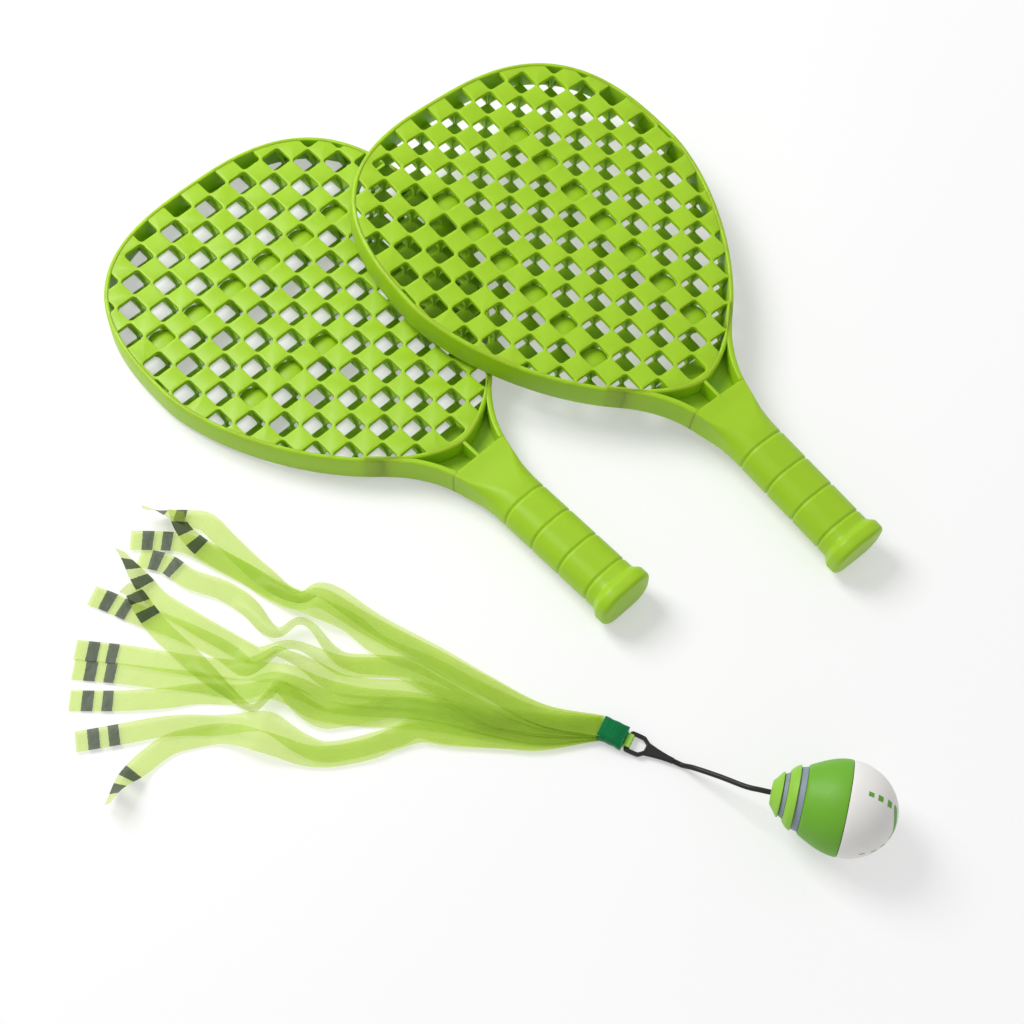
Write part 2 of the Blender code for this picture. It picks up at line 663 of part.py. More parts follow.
# Each ribbon, from the lowest layer to the highest: its route over the floor from the tape
# to its free end, chosen by eye
RIBBONS = (
    ("ribbon_01", ((0.010, -0.143), (-0.041, -0.135), (-0.086, -0.131), (-0.125, -0.124), (-0.178, -0.120),
                   (-0.249, -0.126))),
    ("ribbon_02", ((0.010, -0.142), (-0.041, -0.131), (-0.086, -0.126), (-0.137, -0.116), (-0.178, -0.113),
                   (-0.250, -0.107))),
    ("ribbon_03", ((0.010, -0.140), (-0.041, -0.127), (-0.086, -0.120), (-0.125, -0.112), (-0.173, -0.104),
                   (-0.249, -0.094))),
    ("ribbon_04", ((0.010, -0.146), (-0.018, -0.145), (-0.053, -0.140), (-0.100, -0.153), (-0.141, -0.142),
                   (-0.182, -0.139), (-0.243, -0.150))),
    ("ribbon_05", ((0.010, -0.147), (-0.018, -0.146), (-0.051, -0.142), (-0.107, -0.156), (-0.152, -0.147),
                   (-0.180, -0.147), (-0.201, -0.158), (-0.220, -0.188))),
    ("ribbon_06", ((0.010, -0.139), (-0.034, -0.124), (-0.080, -0.116), (-0.128, -0.100), (-0.152, -0.099),
                   (-0.199, -0.078), (-0.243, -0.061))),
    ("ribbon_07", ((0.010, -0.141), (-0.035, -0.131), (-0.079, -0.130), (-0.118, -0.128), (-0.150, -0.125),
                   (-0.186, -0.096), (-0.211, -0.070), (-0.224, -0.055))),
    ("ribbon_08", ((0.010, -0.137), (-0.030, -0.123), (-0.063, -0.105), (-0.110, -0.098), (-0.144, -0.094),
                   (-0.187, -0.074), (-0.228, -0.036))),
    ("ribbon_09", ((0.010, -0.136), (-0.028, -0.121), (-0.069, -0.102), (-0.103, -0.092), (-0.141, -0.078),
                   (-0.187, -0.049), (-0.218, -0.036))),
    ("ribbon_10", ((0.010, -0.134), (-0.030, -0.112), (-0.075, -0.090), (-0.111, -0.071), (-0.153, -0.046),
                   (-0.191, -0.027), (-0.224, -0.023))),
    ("ribbon_11", ((0.010, -0.133), (-0.030, -0.107), (-0.076, -0.081), (-0.112, -0.062), (-0.147, -0.046),
                   (-0.180, -0.028), (-0.199, -0.010))),
    ("ribbon_12", ((0.010, -0.132), (-0.030, -0.104), (-0.076, -0.077), (-0.112, -0.057), (-0.147, -0.040),
                   (-0.184, -0.012), (-0.217, -0.006))),
)


def sheared(x, y, tape_y):
    """Distance along the tail, measured so that every ribbon's crest has the same value."""
    return x - WAVE_SHEAR * (y - tape_y)


def film_height(along):
    """Height of the film's middle over the floor before its layer is added: one crest and a ripple."""
    crest = 0.5 * (1.0 + math.cos(math.pi * min(abs(along - WAVE_CREST) / WAVE_HALF_LENGTH, 1.0)))
    fade = smoothstep(-along / RIPPLE_LENGTH)
    ripple = 0.5 * (1.0 - math.cos(2.0 * math.pi * along / RIPPLE_LENGTH))
    return WAVE_HEIGHT * crest + RIPPLE_HEIGHT * fade * ripple


def ribbon_stations(first, last):
    """Stations along the tail: even, with extra ones over the crest, the same for every ribbon."""
    coarse = [first + (last - first) * index / (RIBBON_STATIONS - 1) for index in range(RIBBON_STATIONS)]
    fine = [WAVE_CREST + WAVE_HALF_LENGTH * share for share in (-1.0, -0.6, -0.3, 0.0, 0.3, 0.6, 1.0)]
    kept = [along for along in coarse if abs(along - WAVE_CREST) > 1.25 * WAVE_HALF_LENGTH or along in (first, last)]
    return sorted(kept + fine, reverse=True)


def build_ribbons(collection, materials):
    """Strips of film stacked in the tape and fanned out over the floor.

    Every strip is cut at the same stations and lifted by the same height there,
    so the layers stay apart wherever the strips cross.
    """
    frame = tape_frame()
    mouth = frame @ Vector((TAPE_LENGTH + CLEARANCE, 0.0, 0.0))
    leave = frame @ Vector((TAPE_LENGTH + 0.012, 0.0, 0.0))
    face = frame.to_3x3() @ Vector((0.0, 1.0, 0.0))
    for layer, (name, ends) in enumerate(RIBBONS):
        route = [(mouth.x, mouth.y), (leave.x, leave.y), *ends]
        fine = smooth_route([(x, y, 0.0) for x, y in route], 160)
        along = [sheared(point.x, point.y, mouth.y) for point in fine]
        first, last = along[0], along[-1]
        stations = [value for value in ribbon_stations(SHARED_START, SHARED_END) if last + 0.004 < value < first - 0.004]
        rings = []
        for value in [first] + stations + [last]:
            index = min(range(len(fine) - 1), key=lambda i: abs(along[i] - value))
            ahead = min(index + 1, len(fine) - 1)
            behind = max(index - 1, 0)
            middle = fine[index].copy()
            tangent = (fine[ahead] - fine[behind]).normalized()
            cross = Vector((WAVE_SHEAR, 1.0, 0.0))
            if value == first:
                cross = -face
                cross.z = 0.0
            middle.x = value + WAVE_SHEAR * (middle.y - mouth.y)
            across = Vector((-tangent.y, tangent.x, 0.0))
            spread = 0.5 * RIBBON_WIDTH / max(abs(cross.dot(across)), 0.35)
            height = CLEARANCE + FILM_THICKNESS + (layer + 0.5) * LAYER_PITCH + film_height(value)
            half = Vector((0.0, 0.0, 0.5 * FILM_THICKNESS))
            centre = Vector((middle.x, middle.y, height))
            rings.append([centre - spread * cross - half, centre + spread * cross - half,
                          centre + spread * cross + half, centre - spread * cross + half])
        ribbon = loft(name, rings, collection)
        ribbon.data.materials.append(materials["film"])


SHARED_START = 0.030
SHARED_END = -0.262


def centre_on_origin(collection):
    """Move everything so that the middle of the bounding box's underside is the origin."""
    bpy.context.view_layer.update()
    graph = bpy.context.evaluated_depsgraph_get()
    corners = []
    for obj in collection.objects:
        if obj.type == "MESH":
            evaluated = obj.evaluated_get(graph)
            mesh = evaluated.to_mesh()
            corners += [obj.matrix_world @ vertex.co for vertex in mesh.vertices]
            evaluated.to_mesh_clear()
    low = Vector(min(corner[axis] for corner in corners) for axis in range(3))
    high = Vector(max(corner[axis] for corner in corners) for axis in range(3))
    shift = Vector((-0.5 * (low.x + high.x), -0.5 * (low.y + high.y), -low.z))
    for obj in collection.objects:
        obj.matrix_world = Matrix.Translation(shift) @ obj.matrix_world


def main():
    clear_scene()
    scene = bpy.context.scene
    parts = bpy.data.collections.new("toy_racket_and_ball_set")
    cutters = bpy.data.collections.new("cutters")
    scene.collection.children.link(parts)
    scene.collection.children.link(cutters)
    materials = {
        "green": make_material("lime_plastic", GREEN, 0.42),
        "ball_green": make_material("ball_green_rubber", BALL_GREEN, 0.55),
        "grey": make_material("band_grey_rubber", BAND_GREY, 0.6),
        "white": make_material("nose_white_rubber", WHITE, 0.5),
        "black": make_material("strap_black_rubber", BLACK, 0.45),
        "tape": make_material("tape_green", TAPE_GREEN, 0.2),
        "film": make_material("lime_film", FILM_GREEN, 0.3),
    }
    mesh = build_racket_mesh(cutters)
    place_racket("racket_lower", mesh, lower_matrix(), parts, materials["green"])
    place_racket("racket_upper", mesh.copy(), upper_matrix(), parts, materials["green"])
    build_ball(parts, materials)
    build_strap(parts, materials)
    build_binding(parts, materials)
    build_ribbons(parts, materials)
    centre_on_origin(parts)


main()
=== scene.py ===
"""Looks of the toy racket and ball set: two lattice rackets, and a soft ball with a ribbon tail.

Laid out as an add-on: the sizes and colours are in property groups, one operator makes each
group of like pieces, and one panel lists them. Lengths in the code are in metres, apart from
the functions of the racket, the strap and the tail, which work in millimetres and say so.
"""
import math

import bpy
import numpy as np
from bpy.props import FloatProperty, FloatVectorProperty, IntProperty, PointerProperty
from mathutils import Matrix, Quaternion, Vector
from mathutils.geometry import delaunay_2d_cdt


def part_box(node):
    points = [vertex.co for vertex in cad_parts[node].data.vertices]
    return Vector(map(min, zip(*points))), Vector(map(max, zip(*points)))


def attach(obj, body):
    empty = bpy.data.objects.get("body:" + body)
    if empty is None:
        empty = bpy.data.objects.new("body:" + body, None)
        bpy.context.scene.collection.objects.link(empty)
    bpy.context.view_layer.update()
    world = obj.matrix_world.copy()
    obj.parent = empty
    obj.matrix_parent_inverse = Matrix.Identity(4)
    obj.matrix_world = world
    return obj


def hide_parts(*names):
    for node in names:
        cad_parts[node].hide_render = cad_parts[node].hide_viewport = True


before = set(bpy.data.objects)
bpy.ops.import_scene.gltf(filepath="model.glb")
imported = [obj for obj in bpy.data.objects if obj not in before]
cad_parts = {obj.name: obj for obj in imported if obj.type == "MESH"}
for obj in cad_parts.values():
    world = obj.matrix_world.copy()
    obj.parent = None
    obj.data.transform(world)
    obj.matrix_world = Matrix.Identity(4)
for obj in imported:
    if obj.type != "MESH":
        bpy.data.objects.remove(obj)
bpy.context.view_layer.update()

bl_info = {
    "name": "Toy racket and ball set",
    "version": (1, 0, 0),
    "blender": (4, 5, 0),
    "location": "View3D > Sidebar > Racket set",
    "description": "Two lattice rackets, and a soft ball with a ribbon tail",
    "category": "Add Mesh",
}

MM = 0.001

# Size of one cloud of the moulded parts' slow change of tone, in millimetres
TONE_MM = 45.0

# The whole layout was centred on its own box when it was packed; this is that move, in millimetres
LAYOUT_SHIFT = np.array([18.1562, -44.0850, 0.0734])

# Camera of the photograph, in the layout before that move, in millimetres
CAMERA_PLACE = np.array([-37.1, -539.3, 1023.2])
CAMERA_FORWARD = (0.03206, 0.46601, -0.88420)
CAMERA_ROLL = 4.449

# Stage: lamps as name, place in metres, size in metres and power in watts, all aimed at the middle; how
# strong the world is as light, how much of the floor glows, and its half size and drop in metres
LAMPS = (("key_softbox", (-0.9, 0.60, 1.35), 0.8, 24.0), ("fill_softbox", (1.0, -0.7, 1.5), 1.2, 0.6))
WORLD_LEVEL = 0.46
FLOOR_GLOW = 0.38
FLOOR_REACH = 4.0
FLOOR_DROP = 0.0002

# Racket, in millimetres: x from the far tip, y across, z from the middle plane. The head's outline is
# two superellipse ends, and a Hermite curve leads from there down to the grip
EGG_FAR = 112.0
EGG_NEAR = 146.4
EGG_FAR_POWER = 2.78
EGG_NEAR_POWER = 1.60
THROAT_START = 234.0
THROAT_LENGTH = 58.0
THROAT_START_SLOPE = -1.12
THROAT_END_SLOPE = -0.10

# Throat: its two rails start a hair inside the rim's skin; the web hangs lower, and carries a rib
RAIL_WALL = 3.6
RAIL_INSET = 0.35
RAIL_INSET_LENGTH = 11.0
WEB_REACH = (240.0, 275.0)
WEB_DROP = 3.6
RIB_REACH = (256.0, 276.0)

# Lattice: cell size, first column, and a square hole whose corners are cut off where |x| + |y| = HOLE_CUT.
# The lower face's lattice stands out of register with the upper face's by FACE_OFFSET along x and y
CELL = 14.0
FIRST_HOLE = 22.4
HOLE_HALF = 7.0
HOLE_CUT = 12.5
HOLE_ROUND = 0.75
LEAST_SHOWN = 0.08
FACE_OFFSET = 2.0
PLATE_FACE = 9.5
PLATE_BACK = 6.9
PLATE_EDGE = 0.35
POST_WIDE = 2.0
POST_NARROW = 0.8
POST_ROUND = 0.94
POST_OVERLAP = 0.3
PAD_RADIUS = 9.8
PAD_TOP = 4.2
PAD_EDGE = 1.8
PAD_BOTTOM = 0.6

# Grip: a flat bar that grows round, four grooves, and a wider butt
GRIP_START = 271.0
BAR_HALF_THICKNESS = 9.9
BAR_CORNER = 1.2
GRIP_ROUND_START = 277.0
GRIP_ROUND_LENGTH = 29.0
GRIP_HALF_WIDTH = 16.3
GRIP_HALF_THICKNESS = 12.8
GRIP_CORNER = 11.8
GROOVES = (311.0, 333.0, 355.0, 377.0)
GROOVE_DEPTH = 0.85
GROOVE_WIDTH = 0.85
BUTT_HALF_WIDTH = 18.8
BUTT_HALF_THICKNESS = 15.5
BUTT_CORNER = 12.2
BUTT_LENGTH = 12.5
BUTT_EDGE = 3.0

# How the rackets lie, in degrees
LOWER_HEADING = -46.1
UPPER_HEADING = -49.6
UPPER_PITCH = 3.62
UPPER_ROLL = 2.6

# Cells whose hole is closed half way down by a pad, as column and row of the lattice
PADS_ACROSS = ((4, -6), (4, -4), (4, -2), (4, 0), (4, 2), (4, 4), (9, -5), (9, -3), (9, -1))
PADS_ALONG = ((2, 2), (4, 2), (6, 2), (8, 2), (10, 2), (12, 2), (14, 2),
              (3, -3), (5, -3), (7, -3), (9, -3), (11, -3), (13, -3))

# Ball, in millimetres and degrees: heights run from the tail face to the nose along its axis, and a
# ring is (height of its top, radius there)
BALL_PLACE = (179.0, -192.0)
BALL_HEADING = -13.5
BALL_NOSE_UP = 3.0
BALL_RADIUS = 26.8
BALL_EQUATOR = 40.0
NOSE_LENGTH = 29.2
TAIL_FACE = 6.6
REAR_RING = (5.6, 12.6)
REAR_BAND = 8.0
FRONT_RING = (13.6, 18.1)
FRONT_BAND = 17.1
PART_GAP = 0.3
RING_FILLET = 0.8
MARK_PROUD = 0.05

# Strap and tail, in millimetres, in the layout before the move
CORD_ROUTE = ((126.5, -178.5, 22.2), (114.0, -170.5, 15.0), (101.0, -163.0, 7.8))
FORK_NECK = (90.0, -157.0)
FORK_HEADING = 155.0
FORK_RING_START = 12.0
FORK_RING_LENGTH = 16.0
FORK_WIDTH = 13.0
FORK_THICKNESS = 2.6
FORK_ARM = 2.2
FORK_END = FORK_RING_START + FORK_RING_LENGTH
FOLD_FILM = 0.75
TAPE_GAP = 1.4
TAPE_LENGTH = 15.0

# Waves of the tail: how far the crest leans back, where it is, and the height and half length of the
# crest and the height and length of the ripples before it
WAVE_SHEAR = 0.33
WAVE_CREST = -137.0
CREST = (5.0, 30.0)
RIPPLE = (1.2, 85.0)

# Ribbon film: where the two stripes begin and end, from the tip in millimetres, and how ragged their
# edges are; the tint of what is seen through one layer, and how much a layer and a stripe cover
STRIPES = ((7.2, 13.8), (18.8, 24.8))
STRIPE_RAGGED = 0.8
FILM_TINT = (0.88, 0.93, 0.62)
FILM_COVER = 0.42
STRIPE_COVER = 0.90

# Free routes of the ribbons over the floor, from the tape to the tip, lowest layer first
RIBBON_ROUTES = {
    "ribbon_01": ((16, -143), (-18, -139), (-41, -135), (-63, -133), (-86, -132), (-103, -130), (-113, -128),
        (-125, -122), (-137, -118), (-148, -120), (-160, -120), (-178, -120), (-195, -123), (-219, -125),
        (-249, -125)),
    "ribbon_02": ((16, -142), (-18, -136), (-41, -130), (-63, -127), (-86, -126), (-103, -124), (-120, -118),
        (-137, -114), (-148, -117), (-161, -116), (-178, -113), (-202, -111), (-226, -108), (-249, -106)),
    "ribbon_03": ((16, -141), (-18, -133), (-41, -127), (-63, -123), (-86, -121), (-109, -116), (-125, -111),
        (-137, -108), (-155, -105), (-173, -104), (-197, -101), (-221, -97), (-239, -95), (-249, -94)),
    "ribbon_04": ((16, -145), (-18, -144), (-41, -142), (-53, -139), (-63, -144), (-73, -147), (-90, -152),
        (-105, -154), (-117, -150), (-126, -145), (-136, -139), (-147, -138), (-165, -139), (-182, -139),
        (-199, -141), (-217, -145), (-243, -150)),
    "ribbon_05": ((16, -146), (-5, -145), (-33, -144), (-51, -142), (-68, -147), (-79, -152), (-96, -156),
        (-107, -157), (-117, -156), (-129, -153), (-141, -150), (-152, -146), (-164, -144), (-180, -147),
        (-191, -151), (-201, -159), (-210, -169), (-215, -177), (-220, -189)),
    "ribbon_06": ((16, -140), (-16, -133), (-34, -124), (-49, -119), (-62, -117), (-80, -116), (-98, -113),
        (-116, -104), (-128, -98), (-135, -95), (-145, -101), (-152, -103), (-164, -94), (-180, -86),
        (-199, -78), (-217, -71), (-232, -64), (-243, -60)),
    "ribbon_07": ((16, -142), (-13, -137), (-35, -131), (-63, -127), (-79, -130), (-95, -133), (-106, -134),
        (-118, -128), (-131, -118), (-138, -123), (-144, -130), (-150, -128), (-160, -119), (-173, -108),
        (-186, -96), (-201, -82), (-211, -70), (-218, -60), (-224, -57)),
    "ribbon_08": ((16, -138), (-11, -133), (-30, -123), (-47, -113), (-63, -104), (-80, -103), (-98, -102),
        (-120, -93), (-132, -92), (-144, -96), (-150, -95), (-168, -85), (-187, -74), (-204, -63),
        (-214, -52), (-222, -42), (-228, -35)),
    "ribbon_09": ((16, -137), (-11, -132), (-28, -122), (-44, -112), (-57, -104), (-69, -102), (-92, -100),
        (-103, -94), (-114, -81), (-123, -77), (-133, -83), (-141, -79), (-152, -66), (-167, -56),
        (-187, -49), (-202, -39), (-218, -35)),
    "ribbon_10": ((16, -134), (-18, -119), (-47, -103), (-75, -90), (-93, -76), (-111, -69), (-127, -61),
        (-153, -46), (-172, -36), (-191, -26), (-209, -24), (-224, -24)),
    "ribbon_11": ((16, -132), (-18, -114), (-47, -97), (-76, -81), (-97, -69), (-112, -62), (-124, -63),
        (-140, -55), (-153, -46), (-174, -34), (-185, -27), (-193, -20), (-197, -11)),
    "ribbon_12": ((16, -132), (-18, -113), (-47, -95), (-76, -78), (-97, -64), (-112, -57), (-124, -61),
        (-147, -44), (-167, -25), (-180, -12), (-190, -10), (-205, -9), (-217, -8)),
}

# How each free end leaves the floor: turn about its own length in degrees, and rise in millimetres
RIBBON_ENDS = {
    "ribbon_05": (62.0, 3.0),
    "ribbon_07": (35.0, 2.0),
    "ribbon_08": (66.0, 4.0),
    "ribbon_11": (48.0, 9.0),
    "ribbon_12": (74.0, 5.0),
}

# Where a ribbon is gathered lengthwise into a narrow arch: place along the tail and half length in
# millimetres, and the share of its width that is left there
RIBBON_GATHERS = {
    "ribbon_06": (-130.0, 28.0, 0.50),
    "ribbon_07": (-147.0, 36.0, 0.34),
    "ribbon_08": (-124.0, 32.0, 0.42),
    "ribbon_09": (-120.0, 40.0, 0.34),
    "ribbon_12": (-122.0, 24.0, 0.60),
}


def linear(hex_colour):
    """Turn an sRGB hex value into the linear colour that Blender works in."""
    channels = np.array([(hex_colour >> place) & 255 for place in (16, 8, 0)]) / 255.0
    bright = ((channels + 0.055) / 1.055) ** 2.4
    return tuple(float(value) for value in np.where(channels <= 0.04045, channels / 12.92, bright))


def colour_prop(name, hex_colour, description):
    return FloatVectorProperty(name=name, description=description, subtype="COLOR", size=3, min=0.0, max=1.0,
                               default=linear(hex_colour))


def size_prop(name, millimetres, description):
    return FloatProperty(name=name, description=description, default=millimetres * MM, min=0.0,
                         unit="LENGTH", subtype="DISTANCE")


class RacketSettings(bpy.types.PropertyGroup):
    plastic: colour_prop("Plastic", 0x9EC818, "Colour of the moulded rackets")
    rim_wall: size_prop("Rim wall", 2.9, "Thickness of the head's rim")
    half_width: size_prop("Head half width", 109.5, "Half width of the head")
    length: size_prop("Length", 396.0, "Length from the head's tip to the butt")
    half_height: size_prop("Head half height", 10.0, "Half height of the rim")


class BallSettings(bpy.types.PropertyGroup):
    body: colour_prop("Body", 0x6AAB24, "Colour of the green half")
    rings: colour_prop("Rings", 0x8DC438, "Colour of the two cupped rings")
    bands: colour_prop("Bands", 0x8A96A4, "Colour of the two grey bands")
    nose: colour_prop("Nose", 0xF3F1ED, "Colour of the white half")
    marks: colour_prop("Marks", 0x5CA52E, "Colour of the dashes printed on the white half")
    steps: IntProperty(name="Steps", description="Steps round the ball's axis", default=112, min=24)


class StrapSettings(bpy.types.PropertyGroup):
    rubber: colour_prop("Rubber", 0x121011, "Colour of the cord and the fork")
    cord: size_prop("Cord", 3.0, "Diameter of the cord")
    tape: colour_prop("Tape", 0x00703C, "Colour of the tape round the ribbons")
    fold: colour_prop("Fold", 0x96D23E, "Colour of the film folded round the fork's bar")


class TailSettings(bpy.types.PropertyGroup):
    film: colour_prop("Film", 0xC4E05A, "Colour of the ribbon film")
    stripe: colour_prop("Stripe", 0x33452F, "Colour of the two stripes near each tip")
    width: size_prop("Width", 12.6, "Width of one ribbon")


class StageSettings(bpy.types.PropertyGroup):
    floor: colour_prop("Floor", 0xFDFDFD, "Colour of the floor")
    lens: FloatProperty(name="Lens", description="Focal length on a 36 mm sensor", default=68.17, min=1.0)


# Nodes and materials

def add_node(tree, kind, inputs=None, **settings):
    """Add a node with its settings; each input takes a plain value, an output, or a node's first output."""
    node = tree.nodes.new(kind)
    for name, value in settings.items():
        setattr(node, name, value)
    for name, value in (inputs or {}).items():
        if isinstance(value, bpy.types.Node):
            value = value.outputs[0]
        if isinstance(value, bpy.types.NodeSocket):
            tree.links.new(value, node.inputs[name])
        else:
            node.inputs[name].default_value = value
    return node


def new_material(name):
    """Material with an empty node tree and its output; returns the material, tree and output."""
    material = bpy.data.materials.new(name)
    material.use_nodes = True
    tree = material.node_tree
    tree.nodes.clear()
    return material, tree, add_node(tree, "ShaderNodeOutputMaterial")


def rgba(colour, factor=1.0):
    return (*(min(channel * factor, 1.0) for channel in colour), 1.0)


def moulded(name, colour, roughness, grain_mm, grain_depth, tone=0.06, specular=0.5, subsurface=0.0,
            coat=0.0):
    """Moulded plastic or rubber: a slow tone change, a fine surface grain and uneven gloss.

    grain_mm is the size of one bump of the grain and grain_depth its height in millimetres.
    """
    material, tree, output = new_material(name)
    place = add_node(tree, "ShaderNodeTexCoord").outputs["Object"]
    cloud = add_node(tree, "ShaderNodeTexNoise", {"Vector": place, "Scale": 1.0 / (TONE_MM * MM),
                                                  "Detail": 3.0})
    shade = add_node(tree, "ShaderNodeMix", {"Factor": cloud, 6: rgba(colour, 1.0 - tone),
                                             7: rgba(colour, 1.0 + tone)}, data_type="RGBA")
    grain = add_node(tree, "ShaderNodeTexNoise", {"Vector": place, "Scale": 1.0 / (grain_mm * MM),
                                                  "Detail": 4.0})
    gloss = add_node(tree, "ShaderNodeMapRange", {
        "Value": grain, "From Min": 0.3, "From Max": 0.7, "To Min": roughness - 0.05,
        "To Max": roughness + 0.05})
    bump = add_node(tree, "ShaderNodeBump", {"Height": grain, "Strength": 1.0,
                                             "Distance": grain_depth * MM})
    shader = add_node(tree, "ShaderNodeBsdfPrincipled", {
        "Base Color": shade.outputs[2], "Roughness": gloss, "Normal": bump,
        "Specular IOR Level": specular, "Subsurface Weight": subsurface, "Subsurface Scale": 0.004,
        "Subsurface Radius": (1.0, 1.0, 0.4), "Coat Weight": coat, "Coat Roughness": 0.15})
    tree.links.new(shader.outputs[0], output.inputs["Surface"])
    return material


def lime_polypropylene(colour):
    """Injection-moulded polypropylene: evenly coloured, half gloss, and a skin that is a little
    uneven where the melt cooled, so broad highlights break up softly."""
    return moulded("lime_polypropylene", colour, 0.42, 1.1, 0.020, tone=0.05, specular=0.36, subsurface=0.45)


def vinyl(name, colour, roughness=0.5):
    """Soft vinyl skin of the ball: dull sheen and a fine leathery grain."""
    return moulded(name, colour, roughness, 0.9, 0.03, tone=0.05, specular=0.4)


def film_material(colour, stripe):
    """Polyethylene film: thin, glossy and see-through, so layers look deeper and greener than one
    alone. Near each tip are two dark stripes; the UV's V is the distance from the tip."""
    material, tree, output = new_material("printed_polyethylene_film")
    along = add_node(tree, "ShaderNodeUVMap", uv_map="film")
    split = add_node(tree, "ShaderNodeSeparateXYZ", {"Vector": along.outputs["UV"]})
    place = add_node(tree, "ShaderNodeTexCoord").outputs["Object"]
    ragged = add_node(tree, "ShaderNodeTexNoise", {"Vector": place, "Scale": 900.0, "Detail": 3.0})
    reach = add_node(tree, "ShaderNodeMath", {0: ragged, 1: STRIPE_RAGGED * MM,
                                              2: split.outputs["Y"]}, operation="MULTIPLY_ADD")
    bars = []
    for first, last in STRIPES:
        middle = add_node(tree, "ShaderNodeMath", {0: reach, 1: 0.5 * (first + last) * MM},
                          operation="SUBTRACT")
        apart = add_node(tree, "ShaderNodeMath", {0: middle}, operation="ABSOLUTE")
        bars.append(add_node(tree, "ShaderNodeMath", {0: apart, 1: 0.5 * (last - first) * MM},
                             operation="LESS_THAN"))
    both = add_node(tree, "ShaderNodeMath", {0: bars[0], 1: bars[1]}, operation="ADD")
    cloud = add_node(tree, "ShaderNodeTexNoise", {"Vector": place, "Scale": 30.0, "Detail": 2.0})
    tint = add_node(tree, "ShaderNodeMix", {"Factor": cloud, 6: rgba(colour, 0.86),
                                            7: rgba(colour, 1.10)}, data_type="RGBA")
    finish = add_node(tree, "ShaderNodeMix", {"Factor": both, 6: tint.outputs[2], 7: rgba(stripe)},
                      data_type="RGBA").outputs[2]
    crinkle = add_node(tree, "ShaderNodeTexNoise", {"Vector": place, "Scale": 160.0, "Detail": 3.0})
    bump = add_node(tree, "ShaderNodeBump", {"Height": crinkle, "Strength": 0.6,
                                             "Distance": 0.6 * MM})
    shader = add_node(tree, "ShaderNodeBsdfPrincipled", {
        "Base Color": finish, "Roughness": 0.34, "Normal": bump, "Specular IOR Level": 0.4})
    through = add_node(tree, "ShaderNodeBsdfTranslucent", {"Color": finish})
    thin = add_node(tree, "ShaderNodeMixShader", {0: 0.45, 1: shader, 2: through})
    clear = add_node(tree, "ShaderNodeBsdfTransparent", {"Color": rgba(FILM_TINT)})
    cover = add_node(tree, "ShaderNodeMapRange", {"Value": both, "To Min": FILM_COVER,
                                                  "To Max": STRIPE_COVER})
    film = add_node(tree, "ShaderNodeMixShader", {0: cover, 1: clear, 2: thin})
    tree.links.new(film.outputs[0], output.inputs["Surface"])
    return material


# Shapes as whole arrays of points

def grid_quads(rows, columns, wrap_rows=False, wrap_columns=False):
    """Quads of a grid of points stored row by row, closed on itself where asked."""
    row, column = np.meshgrid(np.arange(rows if wrap_rows else rows - 1),
                              np.arange(columns if wrap_columns else columns - 1), indexing="ij")
    below = (row + 1) % rows
    beside = (column + 1) % columns
    return np.stack((row * columns + column, row * columns + beside, below * columns + beside,
                     below * columns + column), -1).reshape(-1, 4)


def signed_volume(points, faces):
    """Six times the volume that a shell of triangles or quads encloses, negative if it is inside out."""
    fans = ((0, 1, 2), (0, 2, 3))[:faces.shape[1] - 2]
    return sum((points[faces[:, a]] * np.cross(points[faces[:, b]], points[faces[:, c]])).sum()
               for a, b, c in fans)


class Piece:
    """Closed and open surfaces gathered for one object."""

    def __init__(self):
        self.points = []
        self.faces = []
        self.count = 0

    def add(self, points, *face_arrays):
        points = np.asarray(points, float).reshape(-1, 3)
        self.points.append(points)
        for faces in face_arrays:
            self.faces.append(np.asarray(faces) + self.count)
        self.count += len(points)

    def add_closed(self, points, *face_arrays):
        """Add a closed shell, turned so that its faces point outwards."""
        points = np.asarray(points, float).reshape(-1, 3)
        volume = sum(signed_volume(points, faces) for faces in face_arrays)
        self.add(points, *[faces if volume > 0 else faces[:, ::-1] for faces in face_arrays])

    def add_ring(self, rings):
        """A profile carried round a closed path: rings is path by profile by three."""
        rows, columns = rings.shape[:2]
        self.add_closed(rings, grid_quads(rows, columns, True, True))

    def add_bar(self, rings, ends=None):
        """A closed profile carried along an open path, both ends filled round a middle point."""
        rows, columns = rings.shape[:2]
        points = np.concatenate((rings.reshape(-1, 3), ends or (rings[0].mean(0), rings[-1].mean(0))))
        around = np.arange(columns)
        beside = (around + 1) % columns
        first = np.stack((beside, around, np.full(columns, rows * columns)), -1)
        base = (rows - 1) * columns
        last = np.stack((base + around, base + beside, np.full(columns, rows * columns + 1)), -1)
        self.add_closed(points, grid_quads(rows, columns, False, True), np.concatenate((first, last)))

    def finish(self, name, material, matrix=None, angle=35.0):
        """Make the object: points through the matrix, smooth faces, and sharp edges past the angle."""
        points = np.concatenate(self.points)
        if matrix is not None:
            turn = np.array(matrix)
            points = points @ turn[:3, :3].T + turn[:3, 3]
        mesh = bpy.data.meshes.new(name)
        mesh.from_pydata(points.tolist(), [], [face for faces in self.faces for face in faces.tolist()])
        mesh.update()
        mesh.polygons.foreach_set("use_smooth", np.ones(len(mesh.polygons), bool))
        mesh.set_sharp_from_angle(angle=math.radians(angle))
        mesh.materials.append(material)
        piece = bpy.data.objects.new(name, mesh)
        bpy.context.scene.collection.objects.link(piece)
        return piece


def assign(piece, node):
    """Carry the piece on the one body, let it stand for its CAD node, and name its material slot."""
    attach(piece, "root")
    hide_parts(node)
    return piece


